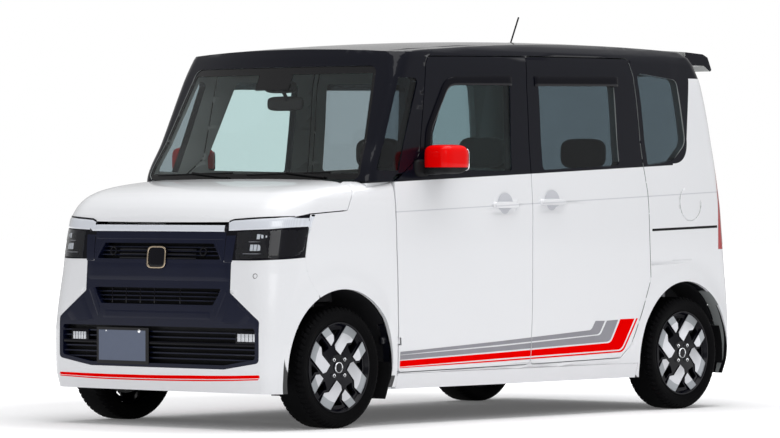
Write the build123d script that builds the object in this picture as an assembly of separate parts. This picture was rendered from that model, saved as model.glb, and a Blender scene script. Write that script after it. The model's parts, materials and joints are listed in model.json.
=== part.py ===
from build123d import *
import math
import os
from collections import namedtuple

# Tall two-box light car: hollow monocoque body, hinged front doors, bonnet and tailgate, sliding rear
# doors, strut front suspension that steers and a trailing twist-beam rear axle.
# Frame: +X forward, +Y to the car's left, +Z up, origin on the ground at the middle of the length. mm.

# ---- driving dimensions -------------------------------------------------------------------------------
LENGTH = 3395.0
WIDTH = 1475.0
HEIGHT = 1790.0
FRONT_AXLE_X = 1252.0
WHEELBASE = 2520.0
TRACK = 1280.0
TYRE_RADIUS = 274.0
TYRE_WIDTH = 165.0
RIM_RADIUS = 190.0            # outside of the rim barrel, under the tyre bead
RIM_WALL = 6.0
FLOOR_Z = 330.0               # top of the cabin floor
FLOOR_T = 25.0
SIDE_RADIUS = 45000.0         # plan radius of the bowed body sides
BELT_Z = 1110.0
WALL_LOW = 60.0               # side wall below the belt
WALL_HIGH = 42.0              # window frames and pillars
SKIN = 18.0                   # outer layer of doors, wings and bumpers
SHUT_GAP = 5.0                # between a panel and its opening
REBATE = 15.0                 # step between the outer and inner layer of an opening
SEAT_GAP = 0.3                # pane or lamp in its opening
GLASS_T = 5.0
GLASS_INSET = 4.0
HOUSE_WALL = 8.0              # sheet of the wheel houses
LOAD_BOARD_T = 4.0            # board on the floor behind the rear seats
DOOR_HINGE_X = 845.0
DOOR_HINGE_Y = 707.5
BONNET_HINGE = (1128.0, 1095.0)
TAILGATE_HINGE = (-1418.0, 1754.0)
KING_LOW = (606.0, 176.0)     # steering axis, lower ball joint (y, z)
KING_HIGH = (520.0, 880.0)    # steering axis, strut top bearing (y, z)
STEER_ARM = 110.0             # steering arm behind the axis
STRUT_ROD = 11.0
BALL_PIN = 8.0
PIPE_RADIUS = 22.0
RACK_BAR = 10.0
REAR_AXLE_X = FRONT_AXLE_X - WHEELBASE
WHEEL_Y = TRACK / 2
HALF = WIDTH / 2

# Wheel arches: middle (x, z), radius, and the inner wall of the space, clear of the tyre.
Arch = namedtuple("Arch", "x z radius wall_y")
FRONT_ARCH = Arch(FRONT_AXLE_X - 15, 276.0, 350.0, 412.0)
REAR_ARCH = Arch(REAR_AXLE_X - 6, 264.0, 361.0, 505.0)

Section = namedtuple("Section", "z half front nose rear tail r_front r_rear lift half_rear belly")

# Plan outlines: height, half width, front corner, nose centre, rear corner, tail centre, corner radii,
# and how much of a wall's thickness also counts downwards (near-level panels).
CABIN_LOW = [
    Section(165, HALF - 32, 1200, 1210, -1655, -1672, 20, 50, 0, HALF - 32, 0),
    Section(260, HALF - 14, 1200, 1210, -1678, -1690, 20, 60, 0, HALF - 14, 0),
    Section(430, HALF - 4, 1200, 1210, -1682, -LENGTH / 2, 20, 65, 0, HALF - 4, 0),
    Section(700, HALF, 1200, 1210, -1652, -1672, 20, 70, 0, HALF, 0),
    Section(960, HALF, 1200, 1210, -1622, -1648, 20, 75, 0, HALF, 0),
    Section(BELT_Z, HALF - 9, 1200, 1210, -1606, -1636, 20, 80, 0, HALF - 9, 0),
]
CABIN_HIGH = [
    Section(BELT_Z, HALF - 9, 1048, 1122, -1606, -1636, 70, 80, 0, HALF - 9, 0),
    Section(1300, HALF - 26, 961, 1036, -1580, -1610, 70, 80, 0, HALF - 26, 0),
    Section(1590, HALF - 45, 828, 908, -1512, -1550, 75, 80, 0, HALF - 45, 0),
    Section(1690, HALF - 60, 782, 866, -1470, -1510, 90, 85, 0, HALF - 60, 0),
    Section(1722, HALF - 72, 764, 850, -1450, -1490, 100, 90, 0, HALF - 72, 0),
    Section(1748, HALF - 98, 736, 822, -1420, -1462, 120, 100, 0, HALF - 98, 0),
    Section(1800, HALF - 190, 660, 760, -1350, -1390, 150, 120, 0, HALF - 190, 0),
]
NOSE = [
    Section(165, HALF - 32, 1668, 1680, 700, 690, 60, 20, 0, HALF - 32, 0),
    Section(260, HALF - 14, 1686, LENGTH / 2, 700, 690, 75, 20, 0, HALF - 14, 0),
    Section(430, HALF - 4, 1686, LENGTH / 2, 700, 690, 90, 20, 0, HALF - 4, 0),
    Section(700, HALF, 1672, 1692, 700, 690, 170, 20, 0, HALF, 0),
    Section(925, HALF, 1635, 1665, 700, 690, 200, 20, 0, HALF, 0),
    Section(985, HALF - 4, 1590, 1640, 700, 690, 200, 20, 0.4, HALF - 1.5, 1),
    Section(1025, HALF - 14, 1545, 1600, 700, 690, 200, 20, 0.7, HALF - 4, 3),
    Section(1058, HALF - 36, 1480, 1540, 700, 690, 200, 20, 1, HALF - 6, 8),
    Section(1085, HALF - 85, 1380, 1450, 700, 690, 180, 20, 1, HALF - 8, 20),
    Section(1108, HALF - 165, 1230, 1300, 700, 690, 140, 20, 1, HALF - 9, 40),
    Section(1122, HALF - 250, 1100, 1170, 700, 690, 100, 20, 1, HALF - 40, 50),
]


def plan_y(half, x):
    """Half width of a bowed side at a station along the car."""
    return half - (SIDE_RADIUS - math.sqrt(SIDE_RADIUS**2 - x**2))


def rounded(points, at):
    """Closed face through corners (u, v, radius); at(u, v) gives the 3-D point."""
    edges, ends = [], []
    n = len(points)
    for i, (u, v, r) in enumerate(points):
        pu, pv, _ = points[i - 1]
        nu, nv, _ = points[(i + 1) % n]
        if r == 0:
            ends.append(((u, v), None, (u, v)))
            continue
        a = math.hypot(pu - u, pv - v)
        b = math.hypot(nu - u, nv - v)
        ax, ay, bx, by = (pu - u) / a, (pv - v) / a, (nu - u) / b, (nv - v) / b
        turn = math.acos(max(-1, min(1, ax * bx + ay * by)))
        reach = r / math.tan(turn / 2)
        mx, my = ax + bx, ay + by
        m = math.hypot(mx, my)
        away = r / math.sin(turn / 2) - r
        ends.append(((u + ax * reach, v + ay * reach), (u + mx / m * away, v + my / m * away),
                     (u + bx * reach, v + by * reach)))
    for i, (start, middle, end) in enumerate(ends):
        if middle:
            edges.append(ThreePointArc(at(*start), at(*middle), at(*end)))
        edges.append(Line(at(*end), at(*ends[(i + 1) % n][0])))
    return Face(Wire(edges))


def grown(points, by):
    """The corners of an outline moved outwards by a distance, with their radii."""
    area = sum(points[i - 1][0] * p[1] - p[0] * points[i - 1][1] for i, p in enumerate(points))
    side = 1 if area > 0 else -1
    out = []
    n = len(points)
    for i, (u, v, r) in enumerate(points):
        pu, pv, _ = points[i - 1]
        nu, nv, _ = points[(i + 1) % n]
        a, b = math.hypot(u - pu, v - pv), math.hypot(nu - u, nv - v)
        n1 = (side * (v - pv) / a, -side * (u - pu) / a)
        n2 = (side * (nv - v) / b, -side * (nu - u) / b)
        k = by / (1 + n1[0] * n2[0] + n1[1] * n2[1])
        cross = side * ((u - pu) * (nv - v) - (v - pv) * (nu - u))
        radius = 0 if r == 0 else max(3.0, r + (by if cross > 0 else -by))
        out.append((u + k * (n1[0] + n2[0]), v + k * (n1[1] + n2[1]), radius))
    return out


def side_prism(points, y0=608.0, y1=900.0):
    """Outline in side view (x, z, radius) carried across the car's left side."""
    return extrude(rounded(points, lambda u, v: Vector(u, y0, v)), amount=y1 - y0, dir=(0, 1, 0))


def front_prism(points, x0, x1):
    """Outline in front view (y, z, radius) carried along the car."""
    return extrude(rounded(points, lambda u, v: Vector(x0, u, v)), amount=x1 - x0, dir=(1, 0, 0))


def box(x0, x1, y0, y1, z0, z1):
    """Block between two corners."""
    return Pos((x0 + x1) / 2, (y0 + y1) / 2, (z0 + z1) / 2) * Box(x1 - x0, y1 - y0, z1 - z0)


def rod(start, end, radius, inner=0.0):
    """Round bar or tube between two points."""
    a, b = Vector(*start), Vector(*end)
    plane = Plane(origin=a, z_dir=(b - a).normalized())
    bar = extrude(plane * Circle(radius), amount=(b - a).length)
    if inner:
        bar -= extrude(plane * Circle(inner), amount=(b - a).length)
    return bar


def side_by_side(corners, z0, z1):
    """Straight-sided block from its plan corners (x, y)."""
    return extrude(rounded([(x, y, 0) for x, y in corners], lambda u, v: Vector(u, v, z0)), amount=z1 - z0,
                   dir=(0, 0, 1))


def lathe(points, start, towards):
    """Turned piece about an axis that starts at ground height: corners (radius, upright height)."""
    axis = Vector(*towards) - Vector(*start)
    plane = Plane(origin=start, z_dir=axis.normalized())
    points = [(r, h * axis.length / axis.Z) for r, h in points]
    count = len(points)
    edges = [Line((points[i][0], 0, points[i][1]), (points[(i + 1) % count][0], 0, points[(i + 1) % count][1]))
             for i in range(count)]
    return plane * revolve(Face(Wire(edges)), Axis.Z, 360)


def mirrored(shape):
    """The same piece on the car's right side."""
    return mirror(shape, about=Plane.XZ)


def outline(s, inset):
    """Plan outline of one section, moved inwards by a wall's thickness."""
    front, nose, rear, tail = s.front - inset, s.nose - inset, s.rear + inset, s.tail + inset
    z = s.z - inset * s.lift
    yf, yr = plan_y(s.half - inset, front), plan_y(s.half_rear - inset, rear)
    middle = 0.5 * (front + rear)
    ym = plan_y(0.5 * (s.half + s.half_rear) - inset, middle) + s.belly
    face = Face(Wire([
        ThreePointArc((front, yf, z), (middle, ym, z), (rear, yr, z)),
        ThreePointArc((rear, yr, z), (tail, 0, z), (rear, -yr, z)),
        ThreePointArc((rear, -yr, z), (middle, -ym, z), (front, -yf, z)),
        ThreePointArc((front, -yf, z), (nose, 0, z), (front, yf, z)),
    ]))
    for at_x, radius in ((front, s.r_front), (rear, s.r_rear)):
        corners = [v for v in face.vertices() if abs(v.X - at_x) < 0.01]
        face = face.fillet_2d(max(8.0, radius - inset), corners)
    return face


def form(sections, inset):
    """Closed body form through its plan outlines."""
    return Solid.make_loft([outline(s, inset).outer_wire() for s in sections], ruled=True)


def roof_cap(drop):
    """Everything under the crowned roof surface."""
    crown, along, mid_x = 8000.0, 17000.0, -636.0
    top = HEIGHT - drop
    half = 800.0
    edge = top - (crown - math.sqrt(crown**2 - half**2))
    face = Face(Wire([
        ThreePointArc((mid_x, -half, edge), (mid_x, 0, top), (mid_x, half, edge)),
        Line((mid_x, half, edge), (mid_x, half, 900)), Line((mid_x, half, 900), (mid_x, -half, 900)),
        Line((mid_x, -half, 900), (mid_x, -half, edge))]))
    axis = Axis((mid_x, 0, top - along), (0, 1, 0))
    return revolve(face.rotate(axis, -6.5), axis, 13.0)


def cabin(low_inset, high_inset, roof_drop):
    """Cabin form below and above the belt."""
    return form(CABIN_LOW, low_inset) + (form(CABIN_HIGH, high_inset) & roof_cap(roof_drop))




# ---- outlines of panels and windows (side view x, z, corner radius) -------------------------------------
FRONT_DOOR = [(851, 240, 25), (883, 1040, 0), (884, 1106, 15), (698, 1228, 60), (621, 1650, 40),
              (596, 1688, 20), (-107, 1702, 20), (-90, 1560, 0), (-82, 252, 25)]
REAR_DOOR = [(-82, 252, 25), (-90, 1560, 0), (-107, 1702, 20), (-893, 1708, 25), (-920, 1619, 0),
             (-956, 1205, 0), (-981, 1063, 0), (-1001, 640, 30), (-958, 550, 60), (-849, 321, 60),
             (-771, 263, 30)]
FRONT_WINDOW = [(640, 1166, 20), (652, 1225, 20), (470, 1588, 40), (30, 1594, 25), (52, 1160, 15)]
REAR_WINDOW = [(-178, 1166, 20), (-178, 1592, 25), (-758, 1600, 40), (-768, 1190, 25)]
QUARTER_FRONT = [(985, 1162, 12), (806, 1586, 20), (680, 1586, 20), (852, 1156, 12)]
QUARTER_REAR = [(-950, 1640, 25), (-1270, 1612, 40), (-1318, 1300, 60), (-1205, 1215, 50), (-995, 1190, 20)]
WING = [(851, 172, 0), (851, 240, 0), (883, 1040, 0), (884, 1112, 0), (1090, 1112, 0), (1137, 1086, 0),
        (1204, 979, 15), (1441, 964, 0), (1474, 770, 0), (1469, 706, 10), (1400, 603, 0), (1252, 400, 0),
        (930, 172, 0)]
BONNET = [(1137, 1086, 0), (1204, 979, 15), (1441, 964, 0), (1720, 914, 0), (1720, 1200, 0), (1090, 1200, 0)]
MOUTH = [(-407.5, 905, 0), (-407.5, 749, 0), (-452, 749, 0), (-452, 613, 10), (-626, 489, 20), (-624, 303, 20),
         (-417, 271, 20), (417, 271, 20), (624, 303, 20), (626, 489, 20), (452, 613, 10), (452, 749, 0),
         (407.5, 749, 0), (407.5, 905, 0)]
WINDSCREEN = [(-668, 1120, 30), (668, 1120, 30), (566, 1642, 45), (-566, 1642, 45)]
TAILGATE = [(-632, 500, 40), (632, 500, 40), (632, 1260, 0), (596, 1850, 0), (-596, 1850, 0), (-632, 1260, 0)]
TAILGATE_WINDOW = [(-545, 1130, 50), (545, 1130, 50), (510, 1640, 60), (-510, 1640, 60)]
ROOF_Y = 590.0
ROOF_FRONT_Z = 1652.0
DOOR_HINGES = (400.0, 850.0)
HINGE_PIN = 6.0
TAIL_ROLL = 21.0
HINGE_LEAN = 50.0
APRON_T = 12.0
RAIL_GROOVE = [(-1003, 707, 4), (-1003, 723, 4), (-1575, 740, 4), (-1575, 724, 4)]
RAIL_DEPTH = 20.0
FUEL_LID = (-1328.0, 1010.0, 89.0)      # middle (x, z) and radius
SEAM_WIDTH = 3.0
SEAM_DEPTH = 26.0
FRONT_HANDLE = (119.0, 1002.0)
REAR_HANDLE = (-228.0, 1015.0)
HANDLE_LENGTH = 176.0
HANDLE_HEIGHT = 24.0
HANDLE_BOWL = 75.0            # radius of the ball that hollows the hand recess
HANDLE_DEPTH = 13.0
GRILLE_T = 40.0
BLADE_INSET = 12.0            # blades stand this far behind the face of the grille
# Mouths of the grille (y, z, corner radius), the pitch of their blades and the blades' thickness.
GRILLE_MOUTHS = [
    ([(-340, 832, 6), (340, 832, 6), (388, 760, 6), (-388, 760, 6)], 18, 5),
    ([(-402, 630, 8), (402, 630, 8), (350, 556, 8), (-350, 556, 8)], 18, 5),
    ([(-602, 456, 15), (602, 456, 15), (602, 318, 15), (420, 289, 20), (-420, 289, 20), (-602, 318, 15)], 24, 6),
]
FACETS = 4                    # turns of the wheel's pinwheel pattern
# Corners (towards the rear, up) of one raised facet pair and of the two windows beside it, from the hub.
LONG_FACET = [(-23.5, 101.6), (56, 191), (127, 157), (92, 111), (60, 108), (12, 57), (-18, 81)]
SHORT_FACET = [(-28, 145), (-75, 187), (-116, 162), (-46, 99), (-27, 121)]
SPOKE_WINDOWS = [
    [(-17, 122, 5), (-18, 150, 5), (-43, 169, 5), (27, 172, 5)],
    [(-100, 137, 6), (-126, 116, 6), (-101, 92, 5), (-97, 68, 6), (-54, 88, 8)],
]
FACET_T = 4.0
NUT_CIRCLE = 50.0
NUT_RADIUS = 9.0
CAP_RADIUS = 26.0
SPOKE_FACE = [(0, 66), (58, 66), (120, 63), (186, 60), (197, 66)]     # outer face of the spokes (radius, y)
PLATE_BOLTS = 210.0
PLATE_HOLE = 3.5
RUN_FIT = 0.05


def king(z):
    """How far out the steering axis is at a height."""
    return KING_LOW[0] + (z - KING_LOW[1]) * (KING_HIGH[0] - KING_LOW[0]) / (KING_HIGH[1] - KING_LOW[1])


def cylinder_y(x, z, radius, y0, y1):
    """Round bar across the car."""
    return rod((x, y0, z), (x, y1, z), radius)


def swing_clearance():
    """What the front edge of a front door sweeps about its hinge, with the shut gap round it."""
    profile = []
    for z, front, skin in ((225, 851, HALF - 18), (400, 857, HALF - 5), (700, 869, HALF), (985, 881, HALF),
                           (1130, 884, HALF - 10), (1145, 858, HALF - 12)):
        reach = math.hypot(front - SHUT_GAP / 2 - DOOR_HINGE_X, plan_y(skin, front) - DOOR_HINGE_Y)
        profile.append((reach + SHUT_GAP, z))
    points = [(0, profile[0][1])] + profile + [(0, profile[-1][1])]
    face = Face(Wire([Line((points[i][0], 0, points[i][1]), (points[(i + 1) % len(points)][0], 0,
                      points[(i + 1) % len(points)][1])) for i in range(len(points))]))
    return Pos(DOOR_HINGE_X, DOOR_HINGE_Y, 0) * revolve(face, Axis.Z, 360)


def seat_profile():
    """One seat from the side: cushion, back and headrest as one outline."""
    return [(520, 500, 20), (540, 560, 35), (520, 660, 45), (150, 625, 60), (40, 900, 0),
            (-40, 1150, 30), (-62, 1172, 0), (-70, 1330, 35), (-140, 1330, 35), (-150, 1172, 0), (-178, 1140, 30),
            (-60, 640, 0), (-45, 500, 25)]


def write(nodes):
    """One STEP file for each node."""
    os.makedirs("parts", exist_ok=True)
    for name, shape in nodes.items():
        solids = shape if isinstance(shape, list) else [shape]
        flat = [s for item in solids for s in item.solids()]
        export_step(Compound(children=flat) if len(flat) > 1 else flat[0], "parts/" + name + ".step")


# ---- body forms shared by the panels --------------------------------------------------------------------
OUTER = cabin(0, 0, 0)
SKIN_BACK = cabin(SKIN, SKIN, SKIN)
SEAT_BACK = cabin(SKIN + SHUT_GAP, SKIN + SHUT_GAP, SKIN + SHUT_GAP)
INNER = cabin(WALL_LOW, WALL_HIGH, 35)
PANE = form(CABIN_HIGH, GLASS_INSET) - form(CABIN_HIGH, GLASS_INSET + GLASS_T)
NOSE_OUTER = form(NOSE, 0)
NOSE_SKIN = NOSE_OUTER - form(NOSE, SKIN)
NOSE_LAMP = NOSE_OUTER - form(NOSE, WALL_LOW)
NOSE_OUTER_BLADES = form(NOSE, BLADE_INSET)
WALL = OUTER - INNER
OUTER_LAYER = OUTER - SKIN_BACK
COVER_LAYER = OUTER - cabin(SKIN - SEAT_GAP, SKIN - SEAT_GAP, SKIN - SEAT_GAP)
INNER_LAYER = SKIN_BACK - INNER
LEFT = box(-1800, 1800, 0, 900, 0, 1900)


def arch_space(arch, by=0.0, inwards=0.0):
    """Round space of a left wheel arch, enlarged by a distance all round and towards the middle."""
    return cylinder_y(arch.x, arch.z, arch.radius + by, arch.wall_y - inwards, 900)


def door(shape_points, window):
    """Left door: outer skin, stepped inner box and window opening."""
    edge = grown(shape_points, -SHUT_GAP / 2)
    skin = OUTER_LAYER & side_prism(edge)
    inside = INNER_LAYER & side_prism(grown(shape_points, -SHUT_GAP * 1.5 - REBATE + SHUT_GAP / 2))
    leaf = skin + inside - side_prism(window)
    return leaf - arch_space(FRONT_ARCH) - arch_space(REAR_ARCH, SHUT_GAP)


def with_handle(leaf, x, z):
    """Left door leaf with its hand recess and the pull bar across it."""
    surface = plan_y(HALF, x)
    bowl = Pos(x, surface + HANDLE_BOWL - HANDLE_DEPTH, z) * Sphere(HANDLE_BOWL)
    half = HANDLE_LENGTH / 2
    tip = HANDLE_HEIGHT / 2
    bar = extrude(rounded([(x - half, z - tip, tip - 1), (x + half, z - tip, tip - 1), (x + half, z + tip, tip - 1),
                           (x - half, z + tip, tip - 1)], lambda u, v: Vector(u, surface - 4, v)),
                  amount=22, dir=(0, 1, 0))
    grip = box(x - half + 34, x + half - 34, surface - 10, surface + 9, z - tip, z + tip)
    return leaf - bowl + (bar - grip)


def pane(window):
    """Glass in its opening, left side."""
    return PANE & side_prism(grown(window, -SEAT_GAP))


def both(shape):
    """A left piece and its mirror image."""
    return [shape, mirrored(shape)]


def hinge_pins():
    """Body half of the two hinges of the left front door: knuckle and pin on an arm from the pillar."""
    x, y = DOOR_HINGE_X, DOOR_HINGE_Y
    out = Part()
    for z in DOOR_HINGES:
        out += rod((x, y, z - 30), (x, y, z - 0.5), 11) + rod((x, y, z - 4), (x, y, z + 28), HINGE_PIN)
        out += Pos(x, y, z - 15) * Rot(0, 0, -HINGE_LEAN) * box(5, 62, -2.5, 2.5, -7, 7)
        out += box(x + 36, x + 78, y - 50, y - 38, z - 30, z)
    return out


def body():
    """Fixed body shell, split where its panels meet."""
    nodes = {}
    opening = grown(FRONT_DOOR, SHUT_GAP / 2)
    wide = side_prism(opening, 603) + side_prism(grown(REAR_DOOR, SHUT_GAP / 2), 603)
    narrow_by = SHUT_GAP / 2 - REBATE
    narrow = side_prism(grown(FRONT_DOOR, narrow_by)) + side_prism(grown(REAR_DOOR, narrow_by))
    tail_wide = front_prism(grown(TAILGATE, SHUT_GAP / 2), -1800, TAILGATE_HINGE[0])
    tail_narrow = front_prism(grown(TAILGATE, narrow_by), -1800, TAILGATE_HINGE[0])
    roof_zone = box(-1418, 1300, -ROOF_Y, ROOF_Y, ROOF_FRONT_Z, 1900)
    screen = front_prism(WINDSCREEN, 500, 1300)
    side = WALL & LEFT
    side -= wide - SEAT_BACK
    side -= narrow
    side -= (tail_wide - SEAT_BACK) + tail_narrow
    side -= roof_zone + screen
    side -= box(935, 1300, 0, 900, 0, 1000) + box(1048, 1300, 0, 900, 0, BELT_Z)
    side -= box(853.5, 1300, 0, 900, 0, BELT_Z) - SEAT_BACK
    side -= box(-1800, 1100, 0, 640, 0, 1120)
    side -= arch_space(REAR_ARCH)
    side -= side_prism(QUARTER_FRONT) + side_prism(QUARTER_REAR)
    side = side - swing_clearance() - arch_space(FRONT_ARCH) + hinge_pins()
    lamp = box(-1800, -1560, 640, 900, 780, 1256)
    side -= lamp
    bumper_zone = side_prism([(-1800, 100, 0), (-1300, 100, 0), (-1300, 420, 0), (-1592, 520, 0), (-1640, 765, 0),
                              (-1800, 765, 0)], -900, 1800)
    side -= (bumper_zone - SKIN_BACK)
    side -= box(-900, 850, 600, 900, 160, 235) - SKIN_BACK
    side -= side_prism(RAIL_GROOVE, HALF - RAIL_DEPTH)
    nodes["body_side_right"] = mirrored(side)
    x, z, radius = FUEL_LID
    lid = cylinder_y(x, z, radius, HALF - SEAM_DEPTH, 900) - cylinder_y(x, z, radius - SEAM_WIDTH, HALF - 50, 900)
    nodes["body_side_left"] = side - lid
    roof = WALL & roof_zone
    x, z = TAILGATE_HINGE
    roof -= cylinder_y(x, z, TAIL_ROLL + 6, -700, 700)
    pin = cylinder_y(x, z, HINGE_PIN - 1, 322, 349) + cylinder_y(x, z, 8, 339, 349)
    pin += box(x, x + 40, 339, 349, z - 12, z)
    roof += pin + mirrored(pin)
    roof -= screen
    nodes["roof_panel"] = roof
    rear_arches = arch_space(REAR_ARCH) + mirrored(arch_space(REAR_ARCH))
    tail_opening = front_prism(grown(TAILGATE, SHUT_GAP / 2), -1800, -1500)
    nodes["rear_bumper"] = (COVER_LAYER & bumper_zone) - rear_arches - tail_opening
    lamp_body = (OUTER - cabin(45, 40, 35)) & box(-1800, -1560, 640.3, 900, 780.3, 1255.7)
    nodes["tail_lamps"] = both(lamp_body)
    nodes["windscreen"] = PANE & front_prism(grown(WINDSCREEN, -SEAT_GAP), 500, 1300)
    nodes["side_glass"] = [p for w in (QUARTER_FRONT, REAR_WINDOW, QUARTER_REAR) for p in both(pane(w))]
    rear_leaf = with_handle(door(REAR_DOOR, REAR_WINDOW), *REAR_HANDLE)
    nodes["left_sliding_door"] = rear_leaf
    nodes["right_sliding_door"] = mirrored(rear_leaf)
    return nodes


def floor():
    """Floor pan with rear wheel houses and rear panel."""
    plate = form(CABIN_LOW, WALL_LOW + SEAT_GAP) & box(-1700, 934, -800, 800, FLOOR_Z - FLOOR_T, FLOOR_Z)
    for arch, inwards in ((REAR_ARCH, 0), (FRONT_ARCH, APRON_T + SEAT_GAP)):
        space = arch_space(arch, HOUSE_WALL + SEAT_GAP, inwards)
        plate -= space + mirrored(space)
    for y in (470, -505):
        plate += box(-910, -880, y, y + 35, 275.3, FLOOR_Z - FLOOR_T)
    shell = arch_space(REAR_ARCH, HOUSE_WALL, HOUSE_WALL) & box(-1800, 0, 0, 676, 0, 900)
    shell -= arch_space(REAR_ARCH)
    shell &= form(CABIN_LOW, WALL_LOW + SEAT_GAP) & box(-1600, 0, 0, 900, FLOOR_Z - FLOOR_T, 800)
    plate -= box(-1800, -1600, 490, 900, 200, 400) + box(-1800, -1600, -900, -490, 200, 400)
    rear_panel = form(CABIN_LOW, SKIN + SEAT_GAP) - form(CABIN_LOW, WALL_LOW)
    rear_panel &= box(-1700, -1600, -570, 570, 230, 478)
    board = box(-1590, -1160, -480, 480, FLOOR_Z, FLOOR_Z + LOAD_BOARD_T)
    return {"floor_pan": plate + shell + mirrored(shell) + rear_panel + board}


def nose():
    """Wings, bonnet, bumper, grille and lamps."""
    nodes = {}
    wing = NOSE_SKIN & side_prism(grown(WING, -SHUT_GAP / 2), 590, 900)
    wing -= arch_space(FRONT_ARCH) + swing_clearance() + (SKIN_BACK & box(800, 1050, 0, 900, 0, 1200))
    nodes["front_wings"] = both(wing)
    rear_edge = extrude(Face(Wire([ThreePointArc((1139, -900, 800), (1160, 0, 800), (1139, 900, 800)),
                                   Line((1139, 900, 800), (1900, 900, 800)),
                                   Line((1900, 900, 800), (1900, -900, 800)),
                                   Line((1900, -900, 800), (1139, -900, 800))])), amount=500, dir=(0, 0, 1))
    bonnet = NOSE_SKIN & side_prism(grown(BONNET, -SHUT_GAP / 2), -900, 900) & rear_edge
    eye = cylinder_y(*BONNET_HINGE, 9, 560, 572) + box(BONNET_HINGE[0], 1168, 560, 572, 1086, 1102)
    bonnet += eye + mirrored(eye)
    bonnet -= cylinder_y(*BONNET_HINGE, HINGE_PIN + RUN_FIT, -650, 650)
    nodes["bonnet"] = bonnet
    lamp_zone = side_prism([(1442, 961.5, 0), (1474.6, 770.5, 0), (1800, 749.6, 0), (1800, 898, 0)], 408, 900)
    nodes["headlamps"] = both(NOSE_LAMP & lamp_zone)
    bumper_zone = side_prism([(1472.2, 770, 0), (1467.2, 707, 0), (1398.2, 604, 0), (1398.2, 150, 0), (1800, 150, 0),
                              (1800, 749, 0)], -900, 900)
    mouth = front_prism(grown(MOUTH, 0.5), 1500, 1800)
    bumper = (NOSE_SKIN & bumper_zone) - mouth - arch_space(FRONT_ARCH) - mirrored(arch_space(FRONT_ARCH))
    nodes["front_bumper"] = bumper
    nodes["radiator_grille"] = grille()
    plate = box(1697.8, 1699.8, -373, -43, 282, 447)
    for y in (-PLATE_BOLTS / 2, PLATE_BOLTS / 2):
        plate -= rod((1690, y - 208, 432), (1710, y - 208, 432), PLATE_HOLE)
    nodes["number_plate"] = plate
    return nodes


def grille():
    """Black middle of the nose: a face with three mouths, each filled with thin level blades."""
    face = (NOSE_OUTER - form(NOSE, GRILLE_T)) & front_prism(MOUTH, 1500, 1800)
    blades = NOSE_OUTER_BLADES - form(NOSE, GRILLE_T)
    for corners, pitch, thickness in GRILLE_MOUTHS:
        mouth = front_prism(corners, 1500, 1800)
        face -= mouth
        low, high = min(c[1] for c in corners), max(c[1] for c in corners)
        count = round((high - low) / pitch)
        for i in range(1, count):
            z = low + (high - low) * i / count
            face += blades & mouth & box(1500, 1800, -HALF, HALF, z - thickness / 2, z + thickness / 2)
    return face


def structure():
    """Bulkhead, aprons, front wheel houses, strut towers, rails, bumper beam and cowl tray."""
    inside_low = form(CABIN_LOW, WALL_LOW + SEAT_GAP)
    bulk = box(940, 962, -655, 655, FLOOR_Z - FLOOR_T, 1060)
    around = arch_space(FRONT_ARCH, HOUSE_WALL)
    bulk -= around + mirrored(around)
    wall_y = FRONT_ARCH.wall_y
    apron = box(962, 1560, wall_y - APRON_T, wall_y, 300, 900)
    apron += box(962, 1600, wall_y - 36, wall_y, 240, 300)
    house = arch_space(FRONT_ARCH, HOUSE_WALL, APRON_T) & box(800, 1700, 0, 720, 0, 900)
    house -= arch_space(FRONT_ARCH)
    behind = inside_low & box(860, 941, 0, 900, 300, 800)
    house -= box(870, 926, 650, 700, 365, 405)
    house &= (form(NOSE, SKIN + SEAT_GAP) & box(941, 1398, 0, 900, 300, 800)) + behind
    ax, top_z = FRONT_AXLE_X, KING_HIGH[1]
    foot, head = (ax, king(0), 0), (ax, king(top_z), top_z)
    tower = lathe([(0, 560), (84, 560), (84, top_z + 28), (0, top_z + 28)], foot, head)
    hollow = lathe([(0, 500), (76, 500), (76, top_z + 18), (0, top_z + 18)], foot, head)
    left = (apron + house + tower) - hollow - rod((ax, king(top_z - 60), top_z - 60),
                                                  (ax, king(top_z + 60), top_z + 60), STRUT_ROD + RUN_FIT)
    left += box(1290, 1370, 370.3, wall_y - 12, 600, 640) + box(1165, 1205, 376, wall_y - 12, 200.3, 240)
    left += box(1260, 1300, 376, wall_y - 12, 200.3, 240)
    left += box(955, 1136, 540, 550, 1000, 1086) + cylinder_y(*BONNET_HINGE, 10, 540, 550)
    left += cylinder_y(*BONNET_HINGE, HINGE_PIN, 545, 576)
    beam = (box(1600, 1700, -560, 560, 430, 520) & form(NOSE, 40 + SEAT_GAP))
    left += box(1580, 1612, wall_y - 36, wall_y, 240, 520)
    shell = bulk + left + mirrored(left) + beam
    cowl = box(940, 1128, -535, 535, 1060.3, 1072)
    return {"front_structure": shell, "cowl_panel": cowl}


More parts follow.
